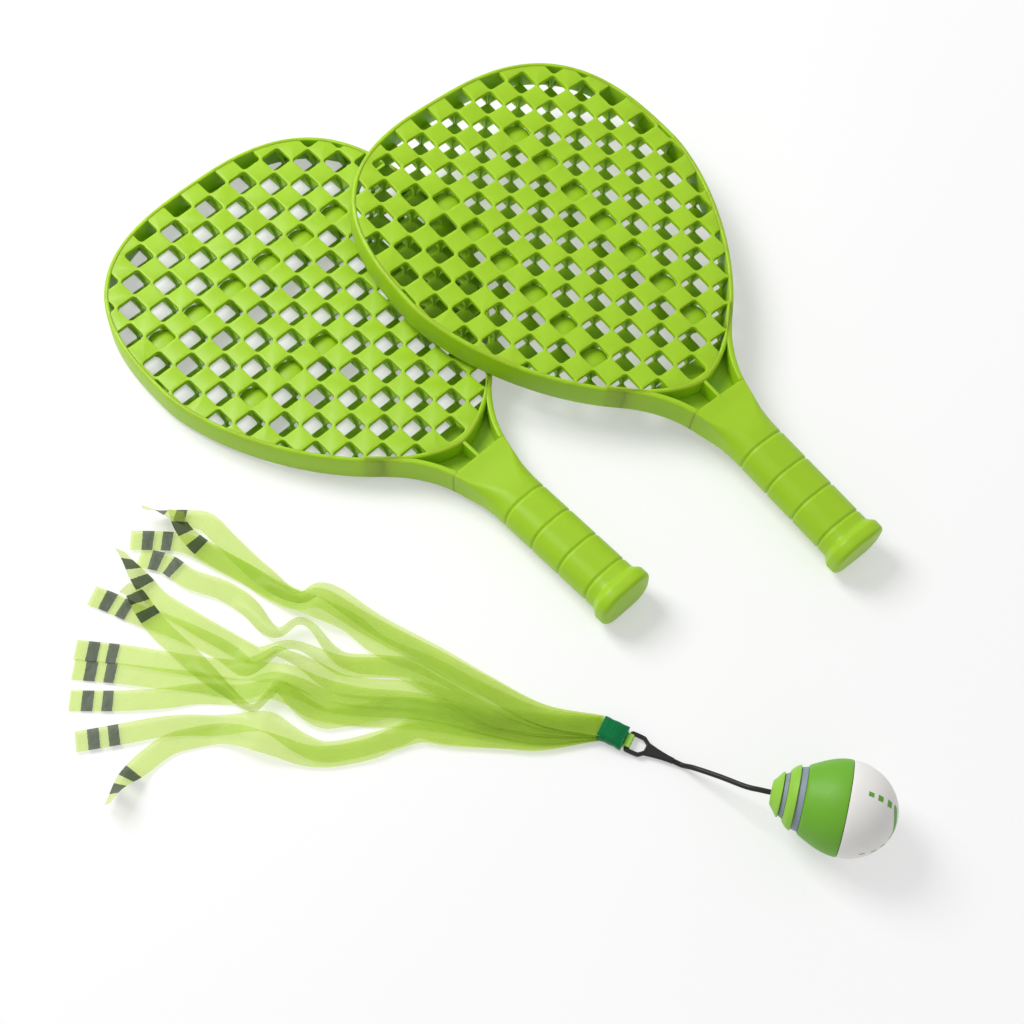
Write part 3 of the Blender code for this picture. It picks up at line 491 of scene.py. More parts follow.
def even_loop(points, count, closed=True):
    """The line through the points, resampled at even steps of its length."""
    points = np.asarray(points, float)
    line = np.concatenate((points, points[:1])) if closed else points
    steps = np.linalg.norm(np.diff(line, axis=0), axis=1)
    length = np.concatenate(([0.0], np.cumsum(steps)))
    at = np.linspace(0.0, length[-1], count + 1)[:-1] if closed else np.linspace(0.0, length[-1], count)
    return np.stack([np.interp(at, length, line[:, axis]) for axis in range(line.shape[1])], -1)


def smooth_line(points, steps=24):
    """Catmull-Rom curve: each span is the cubic through its two points, with slopes from their neighbours."""
    p = np.asarray(points, float)
    p = np.concatenate((2 * p[:1] - p[1:2], p, 2 * p[-1:] - p[-2:-1]))
    t = np.linspace(0.0, 1.0, steps, endpoint=False)[None, :, None]
    a, b, c, d = (p[index:len(p) - 3 + index][:, None] for index in range(4))
    spans = 0.5 * (2 * b + (c - a) * t + (2 * a - 5 * b + 4 * c - d) * t ** 2
                   + (3 * b - a - 3 * c + d) * t ** 3)
    return np.concatenate((spans.reshape(-1, p.shape[1]), p[-2:-1]))


def loop_normals(loop):
    """Outward unit normals of a closed loop in the plane, from each point's two neighbours."""
    along = np.roll(loop, -1, 0) - np.roll(loop, 1, 0)
    normal = np.stack((along[:, 1], -along[:, 0]), -1)
    normal /= np.linalg.norm(normal, axis=1)[:, None]
    area = (loop[:, 0] * np.roll(loop[:, 1], -1) - loop[:, 1] * np.roll(loop[:, 0], -1)).sum()
    return normal if area > 0 else -normal


def swept(path, normals, profile):
    """Rings of a profile of (outward, up) carried along a path in the plane."""
    flat = path[:, None] + normals[:, None] * profile[None, :, :1]
    return np.concatenate((flat, np.broadcast_to(profile[None, :, 1:], (len(path), len(profile), 1))), -1)


def smoothstep(value):
    value = np.clip(value, 0.0, 1.0)
    return value * value * (3.0 - 2.0 * value)


def rounded_profile(n_low, n_high, z_low, z_high, radii, steps=4):
    """Closed profile: a rectangle with each corner a quarter circle; radii for the corners at
    (high, high), (low, high), (low, low) and (high, low)."""
    corners = ((n_high, z_high, 0), (n_low, z_high, 1), (n_low, z_low, 2), (n_high, z_low, 3))
    turns = np.linspace(0.0, 0.5 * math.pi, steps)
    parts = []
    for (n, z, quarter), radius in zip(corners, radii):
        side_n = 1.0 if quarter in (0, 3) else -1.0
        side_z = 1.0 if quarter in (0, 1) else -1.0
        turn = turns + 0.5 * math.pi * quarter
        parts.append(np.stack((n - side_n * radius + radius * np.cos(turn),
                               z - side_z * radius + radius * np.sin(turn)), -1))
    return np.concatenate(parts)


# Racket, in millimetres

def egg_half_width(x, half_width, inset=0.0):
    """Half width of the head: a superellipse on each side of the widest line, drawn in by inset."""
    from_widest = np.asarray(x, float) - EGG_FAR
    reach = np.where(from_widest < 0, EGG_FAR, EGG_NEAR) - inset
    power = np.where(from_widest < 0, EGG_FAR_POWER, EGG_NEAR_POWER)
    share = np.clip(np.abs(from_widest) / reach, 0.0, 1.0)
    return (half_width - inset) * (1.0 - share ** power) ** (1.0 / power)


def egg_loop(half_width, count):
    """The head's outline, evenly spaced: both superellipse ends by their angle, then its mirror."""
    turn = np.linspace(0.0, 0.5 * math.pi, 1500)
    far = np.stack((EGG_FAR - EGG_FAR * np.cos(turn) ** (2 / EGG_FAR_POWER),
                    half_width * np.sin(turn) ** (2 / EGG_FAR_POWER)), -1)
    near = np.stack((EGG_FAR + EGG_NEAR * np.sin(turn) ** (2 / EGG_NEAR_POWER),
                     half_width * np.cos(turn) ** (2 / EGG_NEAR_POWER)), -1)
    upper = np.concatenate((far, near[1:]))
    return even_loop(np.concatenate((upper, (upper * (1, -1))[-2:0:-1]))[::-1], count)


def throat_half_width(x, half_width):
    """Half width over the throat: a Hermite curve from the egg's side down to the grip."""
    t = np.clip((np.asarray(x, float) - THROAT_START) / THROAT_LENGTH, 0.0, 1.0)
    start = egg_half_width(THROAT_START, half_width)
    return ((2 * t ** 3 - 3 * t ** 2 + 1) * start + (3 * t ** 2 - 2 * t ** 3) * GRIP_HALF_WIDTH
            + (t ** 3 - 2 * t ** 2 + t) * THROAT_LENGTH * THROAT_START_SLOPE
            + (t ** 3 - t ** 2) * THROAT_LENGTH * THROAT_END_SLOPE)


def hole_outline(grow):
    """One hole of the lattice, every side moved out by grow: a square with blunt corners, and two points
    close to each of its eight corners."""
    half = HOLE_HALF + grow
    short = HOLE_CUT + grow * math.sqrt(2.0) - half
    corners = np.array([(half, -short), (half, short), (short, half), (-short, half),
                        (-half, short), (-half, -short), (-short, -half), (short, -half)])
    back = np.roll(corners, 1, 0) - corners
    ahead = np.roll(corners, -1, 0) - corners
    back /= np.linalg.norm(back, axis=1)[:, None]
    ahead /= np.linalg.norm(ahead, axis=1)[:, None]
    return np.stack((corners + HOLE_ROUND * back, corners + HOLE_ROUND * ahead), 1).reshape(-1, 2)


def lattice_points(shift):
    """One point per cell, shift cells along both ways from the cell's middle, and the cell's colour on the
    chessboard."""
    column, row = (grid.ravel() for grid in np.meshgrid(np.arange(-2, 18), np.arange(-9, 10), indexing="ij"))
    return np.stack((FIRST_HOLE + CELL * (column + shift), CELL * (row + shift)), -1), (column + row) % 2


def inside_rim(points, half_width, rim_wall):
    """Which of the points lie inside the head's rim."""
    x = points[..., 0]
    inside = np.abs(points[..., 1]) < egg_half_width(x, half_width, rim_wall)
    return inside & (x > rim_wall) & (x < EGG_FAR + EGG_NEAR - rim_wall)


def hole_centres(parity, half_width, rim_wall):
    """Centres of one colour of the chessboard whose hole shows enough inside the rim."""
    centres, colour = lattice_points(0.0)
    centres = centres[colour == parity]
    sample = np.linspace(-0.9, 0.9, 7) * HOLE_HALF
    grid = np.stack(np.meshgrid(sample, sample), -1).reshape(1, -1, 2)
    return centres[inside_rim(centres[:, None] + grid, half_width, rim_wall).mean(1) > LEAST_SHOWN]


def add_plate(piece, outline, holes, levels):
    """A flat sheet with holes, its triangles worked out once and used for face and back.

    levels is a list of (offset, z): the first is the face, the last the back, and those between
    are rings down every wall, moved by offset towards the hole from the face's edge.
    """
    loops = [outline, *holes]
    ends = np.cumsum([0] + [len(loop) for loop in loops])
    outlines = [list(range(first, last)) for first, last in zip(ends, ends[1:])]
    made = delaunay_2d_cdt([Vector(point) for point in np.concatenate(loops)], [], outlines, 0, 1e-4)
    flat = np.array([tuple(point) for point in made[0]])
    kept = np.array([triangle for triangle, owners in zip(made[2], made[5]) if list(owners) == [0]])
    used, kept = np.unique(kept, return_inverse=True)
    flat = flat[used]
    kept = kept.reshape(-1, 3)
    a, b, c = (flat[kept[:, index]] for index in range(3))
    area = (b[:, 0] - a[:, 0]) * (c[:, 1] - a[:, 1]) - (b[:, 1] - a[:, 1]) * (c[:, 0] - a[:, 0])
    kept[area < 0] = kept[area < 0][:, ::-1]
    edges = kept[:, [[0, 1], [1, 2], [2, 0]]].reshape(-1, 2)
    count = len(flat)
    edges = edges[~np.isin(edges[:, 0] * count + edges[:, 1], edges[:, 1] * count + edges[:, 0])]
    along = flat[edges[:, 1]] - flat[edges[:, 0]]
    away = np.stack((along[:, 1], -along[:, 0]), -1)
    away /= np.maximum(np.linalg.norm(away, axis=1), 1e-9)[:, None]
    push = np.zeros((count, 2))
    np.add.at(push, edges[:, 0], away)
    np.add.at(push, edges[:, 1], away)
    size = (push ** 2).sum(1)
    push = np.where(size[:, None] > 0.5, push * 2.0 / np.maximum(size, 0.5)[:, None], push)
    points = [np.column_stack((flat + offset * push, np.full(count, z))) for offset, z in levels]
    wall = np.concatenate((edges, edges[:, ::-1] + count), -1)
    quads = [wall + level * count for level in range(len(levels) - 1)]
    caps = np.concatenate((kept[:, ::-1], kept + (len(levels) - 1) * count))
    piece.add_closed(np.concatenate(points), np.concatenate(quads), caps)


def add_posts(piece, half_width, rim_wall, offset):
    """A post at every crossing of the lattice, its section turning from one face's rib to the other's.

    offset is how far the lower face's lattice stands from register, so each post leans that way.
    """
    centres, colour = lattice_points(0.5)
    inside = inside_rim(centres, half_width, rim_wall)
    turn = np.linspace(0.0, 2.0 * math.pi, 8, endpoint=False) + math.pi / 8.0
    square = POST_ROUND / np.maximum(np.abs(np.cos(turn)), np.abs(np.sin(turn)))
    reach = PLATE_BACK + POST_OVERLAP
    height = np.linspace(-reach, reach, 5)[:, None]
    blend = smoothstep((height / PLATE_BACK + 1.0) / 2.0)
    u = np.cos(turn) * square * (POST_WIDE + (POST_NARROW - POST_WIDE) * blend)
    v = np.sin(turn) * square * (POST_NARROW + (POST_WIDE - POST_NARROW) * blend)
    for parity, sign in ((0, 1.0), (1, -1.0)):
        x = (u + v) / math.sqrt(2.0) + offset[0] * (1.0 - blend)
        y = sign * (u - v) / math.sqrt(2.0) + offset[1] * (1.0 - blend)
        post = np.stack((x, y, np.broadcast_to(height, x.shape)), -1)
        for centre in centres[inside & (colour == parity)]:
            piece.add_bar(post + (*centre, 0.0))


def add_pads(piece, cells):
    """A pad in each listed cell: a disc under the hole, a little domed, wide enough to close it."""
    turn = np.linspace(0.0, 0.5 * math.pi, 8)[:-1]
    top = zip(PAD_RADIUS * np.cos(turn), PAD_EDGE + (PAD_TOP - PAD_EDGE) * np.sin(turn))
    dome = Piece()
    turned(dome, [(0.0, PAD_BOTTOM), (PAD_RADIUS, PAD_BOTTOM), *top, (0.0, PAD_TOP)], 24)
    for column, row in cells:
        piece.add(dome.points[0] + (FIRST_HOLE + CELL * column, CELL * row, 0.0), *dome.faces)


def section(x, half_width, half_height, corner, steps=9):
    """Rings across a bar: at each x a rectangle whose corners are quarter circles, with a point on the
    flat close to each end of a corner, so that the shading of the flats stays flat."""
    x, half_width, half_height, corner = (np.broadcast_to(value, np.shape(x))[:, None]
                                          for value in (x, half_width, half_height, corner))
    corner = np.minimum(corner, 0.995 * np.minimum(half_width, half_height))
    quarter = np.concatenate(([0.0], np.linspace(0.0, 0.5 * math.pi, steps), [0.5 * math.pi]))
    lead = np.concatenate(([-1.0], np.zeros(steps), [1.0]))
    turn = (np.arange(4)[:, None] * 0.5 * math.pi + quarter[None]).ravel()[None]
    flat = np.minimum(half_width, half_height) - corner
    lead = np.tile(lead, 4)[None] * np.minimum(0.4, 0.45 * flat)
    side_y = np.repeat([1.0, -1.0, -1.0, 1.0], steps + 2)[None]
    side_z = np.repeat([1.0, 1.0, -1.0, -1.0], steps + 2)[None]
    y = side_y * (half_width - corner) + corner * np.cos(turn) - lead * np.sin(turn)
    z = side_z * (half_height - corner) + corner * np.sin(turn) + lead * np.cos(turn)
    return np.stack((np.broadcast_to(x, y.shape), y, z), -1)


def add_grip(piece, settings):
    """The grip: sections blended from the throat's flat bar to the round handle and out to the butt,
    with a shallow groove round it at each ring line."""
    half_width = settings.half_width / MM
    end = settings.length / MM
    butt = end - BUTT_LENGTH
    flare = 0.45 * BUTT_LENGTH
    fine = np.concatenate([np.linspace(groove - 2.6, groove + 2.6, 13) for groove in GROOVES])
    x = np.unique(np.concatenate((np.linspace(GRIP_START, 308.0, 34), fine, np.linspace(308.0, butt, 24),
                                  np.linspace(butt, butt + flare, 8), [end - BUTT_EDGE - 1.0])))
    blend = smoothstep((x - GRIP_ROUND_START) / GRIP_ROUND_LENGTH)
    wide = np.where(x < THROAT_START + THROAT_LENGTH, throat_half_width(x, half_width), GRIP_HALF_WIDTH)
    high = BAR_HALF_THICKNESS + (GRIP_HALF_THICKNESS - BAR_HALF_THICKNESS) * blend
    corner = BAR_CORNER + (GRIP_CORNER - BAR_CORNER) * blend
    dip = sum(GROOVE_DEPTH * np.exp(-np.abs((x - groove) / GROOVE_WIDTH) ** 2.4) for groove in GROOVES)
    swell = smoothstep((x - butt) / flare)
    drop = BUTT_EDGE * (1.0 - np.cos(np.linspace(0.0, 0.5 * math.pi, 7)))
    sizes = [np.concatenate((size - dip + swell * (last - first), last - drop)) for size, first, last in (
        (wide, GRIP_HALF_WIDTH, BUTT_HALF_WIDTH), (high, GRIP_HALF_THICKNESS, BUTT_HALF_THICKNESS),
        (corner, GRIP_CORNER, BUTT_CORNER))]
    edge = end - BUTT_EDGE + BUTT_EDGE * np.sin(np.linspace(0.0, 0.5 * math.pi, 7))
    piece.add_bar(section(np.concatenate((x, edge)), *sizes))


def add_throat(piece, settings):
    """Rails down both sides of the throat, a thin web between them, and a middle rib on the web."""
    half_width = settings.half_width / MM
    x = np.linspace(THROAT_START - 6.0, GRIP_START + 0.6, 40)
    edge = np.where(x < THROAT_START, egg_half_width(x, half_width), throat_half_width(x, half_width))
    edge = edge - RAIL_INSET * (1.0 - smoothstep((x - x[0]) / RAIL_INSET_LENGTH))
    slope = np.gradient(edge, x)
    lean = np.sqrt(1.0 + slope ** 2)
    profile = rounded_profile(-RAIL_WALL, 0.0, -10.0, 10.0, (1.5, 0.7, 0.7, 1.5))
    for side in (1.0, -1.0):
        normals = np.stack((-slope / lean, side / lean), -1)
        piece.add_bar(swept(np.stack((x, side * edge), -1), normals, profile))
    along = np.linspace(*WEB_REACH, 20)
    web = section(along, throat_half_width(along, half_width) - 1.6, 1.5, 0.3, 2)
    piece.add_bar(web - (0.0, 0.0, WEB_DROP))
    piece.add_bar(section(np.linspace(*RIB_REACH, 8), 1.15, 9.3, 0.5, 3))


def racket_matrix(heading, pitch, roll):
    """Turn of a racket: heading about Z, then its nose pitched down, then its side rolled."""
    return (Matrix.Rotation(math.radians(heading), 3, "Z") @ Matrix.Rotation(math.radians(pitch), 3, "Y")
            @ Matrix.Rotation(math.radians(-roll), 3, "X"))


def build_racket(settings, name, node, turn, material, offset, pads):
    """One racket: rim, both lattice plates, posts, pads, throat and grip, set where its CAD node stands."""
    half_width = settings.half_width / MM
    half_height = settings.half_height / MM
    rim_wall = settings.rim_wall / MM
    piece = Piece()
    outline = egg_loop(half_width, 300)
    normals = loop_normals(outline)
    profile = rounded_profile(-rim_wall, 0.0, -half_height, half_height, (1.6, 0.9, 0.9, 1.6))
    piece.add_ring(swept(outline, normals, profile))
    inner = even_loop(outline - 0.5 * rim_wall * normals, 220)
    for side, parity in ((1.0, 0), (-1.0, 1)):
        holes = hole_centres(parity, half_width, rim_wall)[:, None] + hole_outline(PLATE_EDGE)[None]
        levels = [(0.0, side * PLATE_FACE), (0.2, side * (PLATE_FACE - 0.08)),
                  (PLATE_EDGE, side * (PLATE_FACE - PLATE_EDGE)), (0.5, side * PLATE_BACK)]
        add_plate(piece, inner, list(holes if side > 0 else holes + np.array(offset)), levels)
    add_posts(piece, half_width, rim_wall, offset)
    add_pads(piece, pads)
    add_throat(piece, settings)
    add_grip(piece, settings)
    points = np.concatenate(piece.points) @ (np.array(turn) * MM).T
    low, high = (np.array(corner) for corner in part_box(node))
    move = 0.5 * (low + high) - 0.5 * (points.min(0) + points.max(0))
    move[2] = low[2] - points[:, 2].min()
    matrix = Matrix.Translation(Vector(move)) @ (turn * MM).to_4x4()
    assign(piece.finish(name, material, matrix), node)


# Ball, in millimetres

def ball_matrix():
    """Turn and place of the ball: its local Z runs from the tail face to the nose."""
    turn = (Matrix.Rotation(math.radians(BALL_HEADING), 4, "Z")
            @ Matrix.Rotation(math.radians(90.0 - BALL_NOSE_UP), 4, "Y"))
    belly = turn @ Vector((0.0, 0.0, BALL_EQUATOR))
    place = Vector((BALL_PLACE[0] - belly.x, BALL_PLACE[1] - belly.y, BALL_RADIUS - belly.z))
    return Matrix.Scale(MM, 4) @ Matrix.Translation(place + Vector(LAYOUT_SHIFT)) @ turn


def turned(piece, profile, steps):
    """A profile of (radius, height) turned about the ball's axis; it starts and ends on the axis."""
    profile = np.asarray(profile, float)
    turn = np.linspace(0.0, 2.0 * math.pi, steps, endpoint=False)
    radius, height = profile[1:-1, :1], profile[1:-1, 1:]
    rings = np.stack((radius * np.cos(turn), radius * np.sin(turn), height + 0.0 * turn), -1)
    piece.add_bar(rings, ((0.0, 0.0, profile[0, 1]), (0.0, 0.0, profile[-1, 1])))


def fillet(profile, radius):
    """The profile with each inner corner cut back by radius and joined by a parabola."""
    profile = np.asarray(profile, float)
    middle = profile[1:-1]
    back = profile[:-2] - middle
    ahead = profile[2:] - middle
    reach_back = np.minimum(radius, 0.45 * np.linalg.norm(back, axis=1))[:, None]
    reach_ahead = np.minimum(radius, 0.45 * np.linalg.norm(ahead, axis=1))[:, None]
    first = middle + reach_back * back / np.linalg.norm(back, axis=1)[:, None]
    last = middle + reach_ahead * ahead / np.linalg.norm(ahead, axis=1)[:, None]
    t = np.linspace(0.0, 1.0, 5)[None, :, None]
    curve = (1 - t) ** 2 * first[:, None] + 2 * t * (1 - t) * middle[:, None] + t ** 2 * last[:, None]
    return np.concatenate((profile[:1], curve.reshape(-1, 2), profile[-1:]))


def ball_profiles():
    """Half profiles of the ball's six parts, from the axis out and back to the axis."""
    seam = BALL_EQUATOR + PART_GAP
    turn = np.linspace(0.0, 0.5 * math.pi, 26)[1:-1]
    nose = [(0.0, seam), (BALL_RADIUS - 0.7, seam), (BALL_RADIUS - 0.18, seam + 0.12),
            *zip(BALL_RADIUS * np.cos(turn), seam + (NOSE_LENGTH - PART_GAP) * np.sin(turn)),
            (0.0, BALL_EQUATOR + NOSE_LENGTH)]
    low = FRONT_BAND + PART_GAP
    start = FRONT_RING[1] + 0.8
    share = np.linspace(0.0, 1.0, 24)[1:-1]
    radius = start + (BALL_RADIUS - start) * np.sin(0.5 * math.pi * share)
    body = [(0.0, low), (start - 1.0, low), (start - 0.35, low + 0.12),
            *zip(radius, low + share * (BALL_EQUATOR - low)),
            (BALL_RADIUS - 0.1, BALL_EQUATOR - 0.12), (BALL_RADIUS - 0.6, BALL_EQUATOR), (0.0, BALL_EQUATOR)]
    rear_top, rear_radius = REAR_RING
    front_top, front_radius = FRONT_RING
    return {
        "nose": nose,
        "body": body,
        "band_front": [(0.0, front_top + 0.2), (front_radius - 1.1, front_top + 0.2),
                       (front_radius - 0.2, FRONT_BAND + 0.1), (0.0, FRONT_BAND + 0.1)],
        "ring_front": fillet([(0.0, REAR_BAND + PART_GAP), (rear_radius + 1.5, REAR_BAND + PART_GAP),
                              (front_radius - 1.4, 10.6), (front_radius, front_top - 0.7),
                              (front_radius, front_top), (0.0, front_top)], RING_FILLET),
        "band_rear": [(0.0, rear_top + 0.2), (rear_radius - 1.1, rear_top + 0.2),
                      (rear_radius + 0.2, REAR_BAND + 0.1), (0.0, REAR_BAND + 0.1)],
        "ring_rear": fillet([(0.0, 0.0), (TAIL_FACE, 0.0), (TAIL_FACE + 1.2, 1.2),
                             (rear_radius, rear_top - 0.8), (rear_radius, rear_top), (0.0, rear_top)],
                            RING_FILLET),
    }


# Dashes on the white half: polar angle from the nose, angle round the axis, and the half length and
# half width on the skin in millimetres
NOSE_MARKS = (
    (68.0, 177.0, 1.5, 1.3),
    (56.0, 177.0, 1.6, 1.6),
    (41.5, 177.0, 1.8, 1.9),
    (37.0, -92.0, 1.7, 0.6),
    (50.0, -91.0, 1.6, 0.6),
    (64.0, -95.0, 1.5, 0.5),
)

# Tapered stroke round the nose: points across the axis, as shares of the ball's radius
NOSE_STROKE = ((-0.504, 0.107), (-0.414, -0.073), (-0.325, -0.187), (-0.207, -0.285), (-0.139, -0.382),
               (-0.093, -0.476))


def skin_point(polar, azimuth):
    """Point on the white half for angles in radians, a hair proud of its skin."""
    radius = (BALL_RADIUS + MARK_PROUD) * np.sin(polar)
    height = BALL_EQUATOR + PART_GAP + (NOSE_LENGTH - PART_GAP + MARK_PROUD) * np.cos(polar)
    return np.stack((radius * np.cos(azimuth), radius * np.sin(azimuth), height), -1)


def add_marks(piece):
    """Each dash is a small patch of the skin; the last one is a tapered stroke over the nose."""
    u, v = np.meshgrid(np.linspace(-1.0, 1.0, 7), np.linspace(-1.0, 1.0, 5), indexing="ij")
    for polar, azimuth, half_length, half_width in NOSE_MARKS:
        centre = math.radians(polar)
        along = centre + u * half_length / BALL_RADIUS
        across = math.radians(azimuth) + v * half_width / (BALL_RADIUS * math.sin(centre))
        piece.add(skin_point(along, across), grid_quads(7, 5))
    path = smooth_line(NOSE_STROKE, 6)
    forward = np.gradient(path, axis=0)
    forward /= np.linalg.norm(forward, axis=1)[:, None]
    share = np.linspace(0.0, 1.0, len(path))
    half = (0.072 * smoothstep(share * 9.0 + 0.3) * (1.0 - 0.8 * smoothstep((share - 0.3) / 0.7)))[:, None]
    side = np.stack((-forward[:, 1], forward[:, 0]), -1)
    spread = np.linspace(-1.0, 1.0, 5)[None, :, None]
    flat = path[:, None] + spread * (half * side)[:, None]
    radius = np.linalg.norm(flat, axis=-1)
    piece.add(skin_point(np.arcsin(np.clip(radius, 0.0, 1.0)), np.arctan2(flat[..., 1], flat[..., 0])),
              grid_quads(len(path), 5))


# Strap and tail, in millimetres

def fork_matrix():
    """Place of the fork: local X runs from the cord to the tape, flat over the floor."""
    place = Vector((*FORK_NECK, 0.5 * FORK_THICKNESS + 1.1)) + Vector(LAYOUT_SHIFT)
    turn = Matrix.Rotation(math.radians(FORK_HEADING), 4, "Z")
    return Matrix.Scale(MM, 4) @ Matrix.Translation(place) @ turn


def path_frames(path):
    """Unit sideways and upward vectors along a path that never stands upright."""
    along = np.gradient(path, axis=0)
    along /= np.linalg.norm(along, axis=1)[:, None]
    side = np.cross(np.array([0.0, 0.0, 1.0]), along)
    side /= np.linalg.norm(side, axis=1)[:, None]
    return side, np.cross(along, side)


def cord_path(diameter):
    """The cord's middle line from the ball's tail face down to the fork's neck."""
    tail = ball_matrix()
    fork = fork_matrix()
    start = tail @ Vector((0.0, 0.0, -0.3))
    lead = tail @ Vector((0.0, 0.0, -2.0 * diameter))
    finish = fork @ Vector((-0.3, 0.0, 0.0))
    approach = fork @ Vector((-2.0 * diameter, 0.0, 0.0))
    middle = [Vector(np.array(point) + LAYOUT_SHIFT) * MM for point in CORD_ROUTE]
    return even_loop(smooth_line([start, lead, *middle, approach, finish]), 60, closed=False)


def fork_piece(diameter):
    """The fork: a flat ring, and a neck that widens into it as 2.6 mm * share ** 1.6."""
    half = 0.5 * FORK_WIDTH
    first = FORK_RING_START + 3.0
    corners = [(first, 0.42 * half), (first + 3.0, half - 0.9), (first + 5.0, half - 0.05),
               (FORK_END - 2.0, half), (FORK_END - 0.4, half - 0.5), (FORK_END, half - 2.2)]
    outer = np.array(corners + [(x, -y) for x, y in corners[::-1]])
    outer = even_loop(smooth_line(np.concatenate((outer, outer[:1]))), 96)
    thick = 0.5 * FORK_THICKNESS
    piece = Piece()
    piece.add_ring(swept(outer, loop_normals(outer),
                         rounded_profile(-FORK_ARM, 0.0, -thick, thick, (0.7, 0.5, 0.5, 0.7))))
    neck = np.linspace(0.0, FORK_RING_START + 5.2, 18)
    share = neck / neck[-1]
    wide = 0.5 * diameter + 0.25 + 2.6 * share ** 1.6
    high = 0.5 * diameter + (thick - 0.5 * diameter) * share - 0.05
    piece.add_bar(section(neck - 0.2, wide, high, np.minimum(wide, high) * 0.9, 5))
    return piece


def fold_piece():
    """Film folded round the fork's bar: a rounded loop round it, swelling a little along the bar."""
    bar = FORK_END - 0.5 * FORK_ARM
    reach = 0.5 * FORK_THICKNESS + FOLD_FILM
    loop = rounded_profile(bar - 0.5 * FORK_ARM - FOLD_FILM, bar + 0.5 * FORK_ARM + 1.4, -reach, reach,
                           (0.9, 0.9, 0.9, 0.9), 6)
    end = 0.5 * FORK_WIDTH - FORK_ARM - 0.2
    y = np.linspace(-end, end, 18)
    crimp = 1.0 + 0.05 * np.sin(y * 2.3) + 0.03 * np.sin(y * 5.1 + 1.0)
    centre = np.array([bar + 0.3, 0.0])
    rings = centre + (loop[None] - centre) * crimp[:, None, None]
    piece = Piece()
    piece.add_bar(np.stack((rings[..., 0], np.broadcast_to(y[:, None], rings.shape[:2]), rings[..., 1]), -1))
    return piece


def tape_piece():
    """Tape round the ribbons: a flat bar as thick as its CAD node, its top creased by crossing waves."""
    low, high = (corner[2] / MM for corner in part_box("tape_wrap"))
    half = 0.5 * (high - low)
    middle = 0.5 * (low + high) - fork_matrix().translation.z / MM
    x = np.linspace(FORK_END + TAPE_GAP, FORK_END + TAPE_GAP + TAPE_LENGTH, 40)
    share = (x - x[0]) / TAPE_LENGTH
    wide = 7.2 - 0.35 * np.sin(math.pi * share) + 0.12 * np.sin(share * 17.0)
    tall = half * (0.80 + 0.20 * smoothstep(share * 2.4)) - 0.05 * np.abs(np.sin(share * 23.0))
    rings = section(x, wide, tall, 0.75 * tall, 8)
    rings[..., 2] += (middle - (half - tall))[:, None]
    lay = np.sin(rings[..., 1] * 1.1 + x[:, None] * 0.9) * np.sin(rings[..., 1] * 0.5 - x[:, None] * 0.35)
    rings[..., 2] += 0.16 * lay * (rings[..., 2] > middle)
    piece = Piece()
    piece.add_bar(rings)
    return piece


def ribbon_height(along):
    """Height of the film's middle over the floor: one shared crest, and low ripples before it."""
    crest = 0.5 * (1.0 + np.cos(math.pi * np.minimum(np.abs(along - WAVE_CREST) / CREST[1], 1.0)))
    ripple = smoothstep(-along / RIPPLE[1]) * 0.5 * (1.0 - np.cos(2.0 * math.pi * along / RIPPLE[1]))
    return CREST[0] * crest + RIPPLE[0] * ripple


def ribbon_surface(name, layer, width):
    """One ribbon: its route, spread sideways to its width, each point lifted by the height that all
    ribbons share there and by its layer. Where it is gathered, its section is an arch as long as its
    width: arch height = width * sqrt(3/16 * (1 - spread^2)). Near the tip it turns about its own length.
    Gathered and turned stretches may touch their neighbours."""
    mouth = fork_matrix() @ Vector((FORK_END + TAPE_GAP + TAPE_LENGTH - 1.0, 0.0, 0.0)) / MM
    start = np.array(mouth)[:2] - LAYOUT_SHIFT[:2]
    route = smooth_line([tuple(start), *RIBBON_ROUTES[name]])
    length = np.linalg.norm(np.diff(route, axis=0), axis=1).sum()
    route = even_loop(route, int(length / 1.5), closed=False)
    steps = np.linspace(0.0, length, len(route))
    along = np.gradient(route, axis=0)
    along /= np.linalg.norm(along, axis=1)[:, None]
    side = np.stack((-along[:, 1], along[:, 0]), -1)
    across = np.linspace(-0.5, 0.5, 7) * width
    twist, rise = RIBBON_ENDS.get(name, (0.0, 0.0))
    near_tip = smoothstep((steps - (length - 34.0)) / 34.0)
    angle = np.radians(twist) * near_tip
    place, reach, left = RIBBON_GATHERS.get(name, (0.0, 1.0, 1.0))
    gather = smoothstep(1.0 - np.abs(route[:, 0] - place) / reach)
    spread = 1.0 - (1.0 - left) * gather
    arch = width * np.sqrt(3.0 / 16.0 * (1.0 - spread ** 2))
    flat = route[:, None] + side[:, None] * (across[None] * (spread * np.cos(angle))[:, None])[..., None]
    sheared = flat[..., 0] - WAVE_SHEAR * (flat[..., 1] - start[1])
    pitch = 0.62 + (0.12 - 0.62) * smoothstep(-(sheared - 30.0) / 190.0)
    height = 0.6 + (layer + 0.5) * pitch + ribbon_height(sheared)
    height = height + across[None] * np.sin(angle)[:, None] + np.abs(0.5 * width * np.sin(angle))[:, None]
    height = height + (rise * near_tip ** 2)[:, None]
    height = height + arch[:, None] * (1.0 - (2.0 * across / width) ** 2)[None]
    points = np.concatenate((flat, height[..., None]), -1) + LAYOUT_SHIFT
    uv = np.stack((np.broadcast_to(across[None], height.shape),
                   np.broadcast_to((length - steps)[:, None], height.shape)), -1)
    return points * MM, uv * MM, length * MM


# Stage

def placed(name, data, place, direction):
    """Add a camera or a lamp that looks along the direction; lengths in metres."""
    holder = bpy.data.objects.new(name, data)
    holder.location = place
    holder.rotation_mode = "QUATERNION"
    holder.rotation_quaternion = Vector(direction).to_track_quat("-Z", "Y")
    bpy.context.scene.collection.objects.link(holder)
    return holder


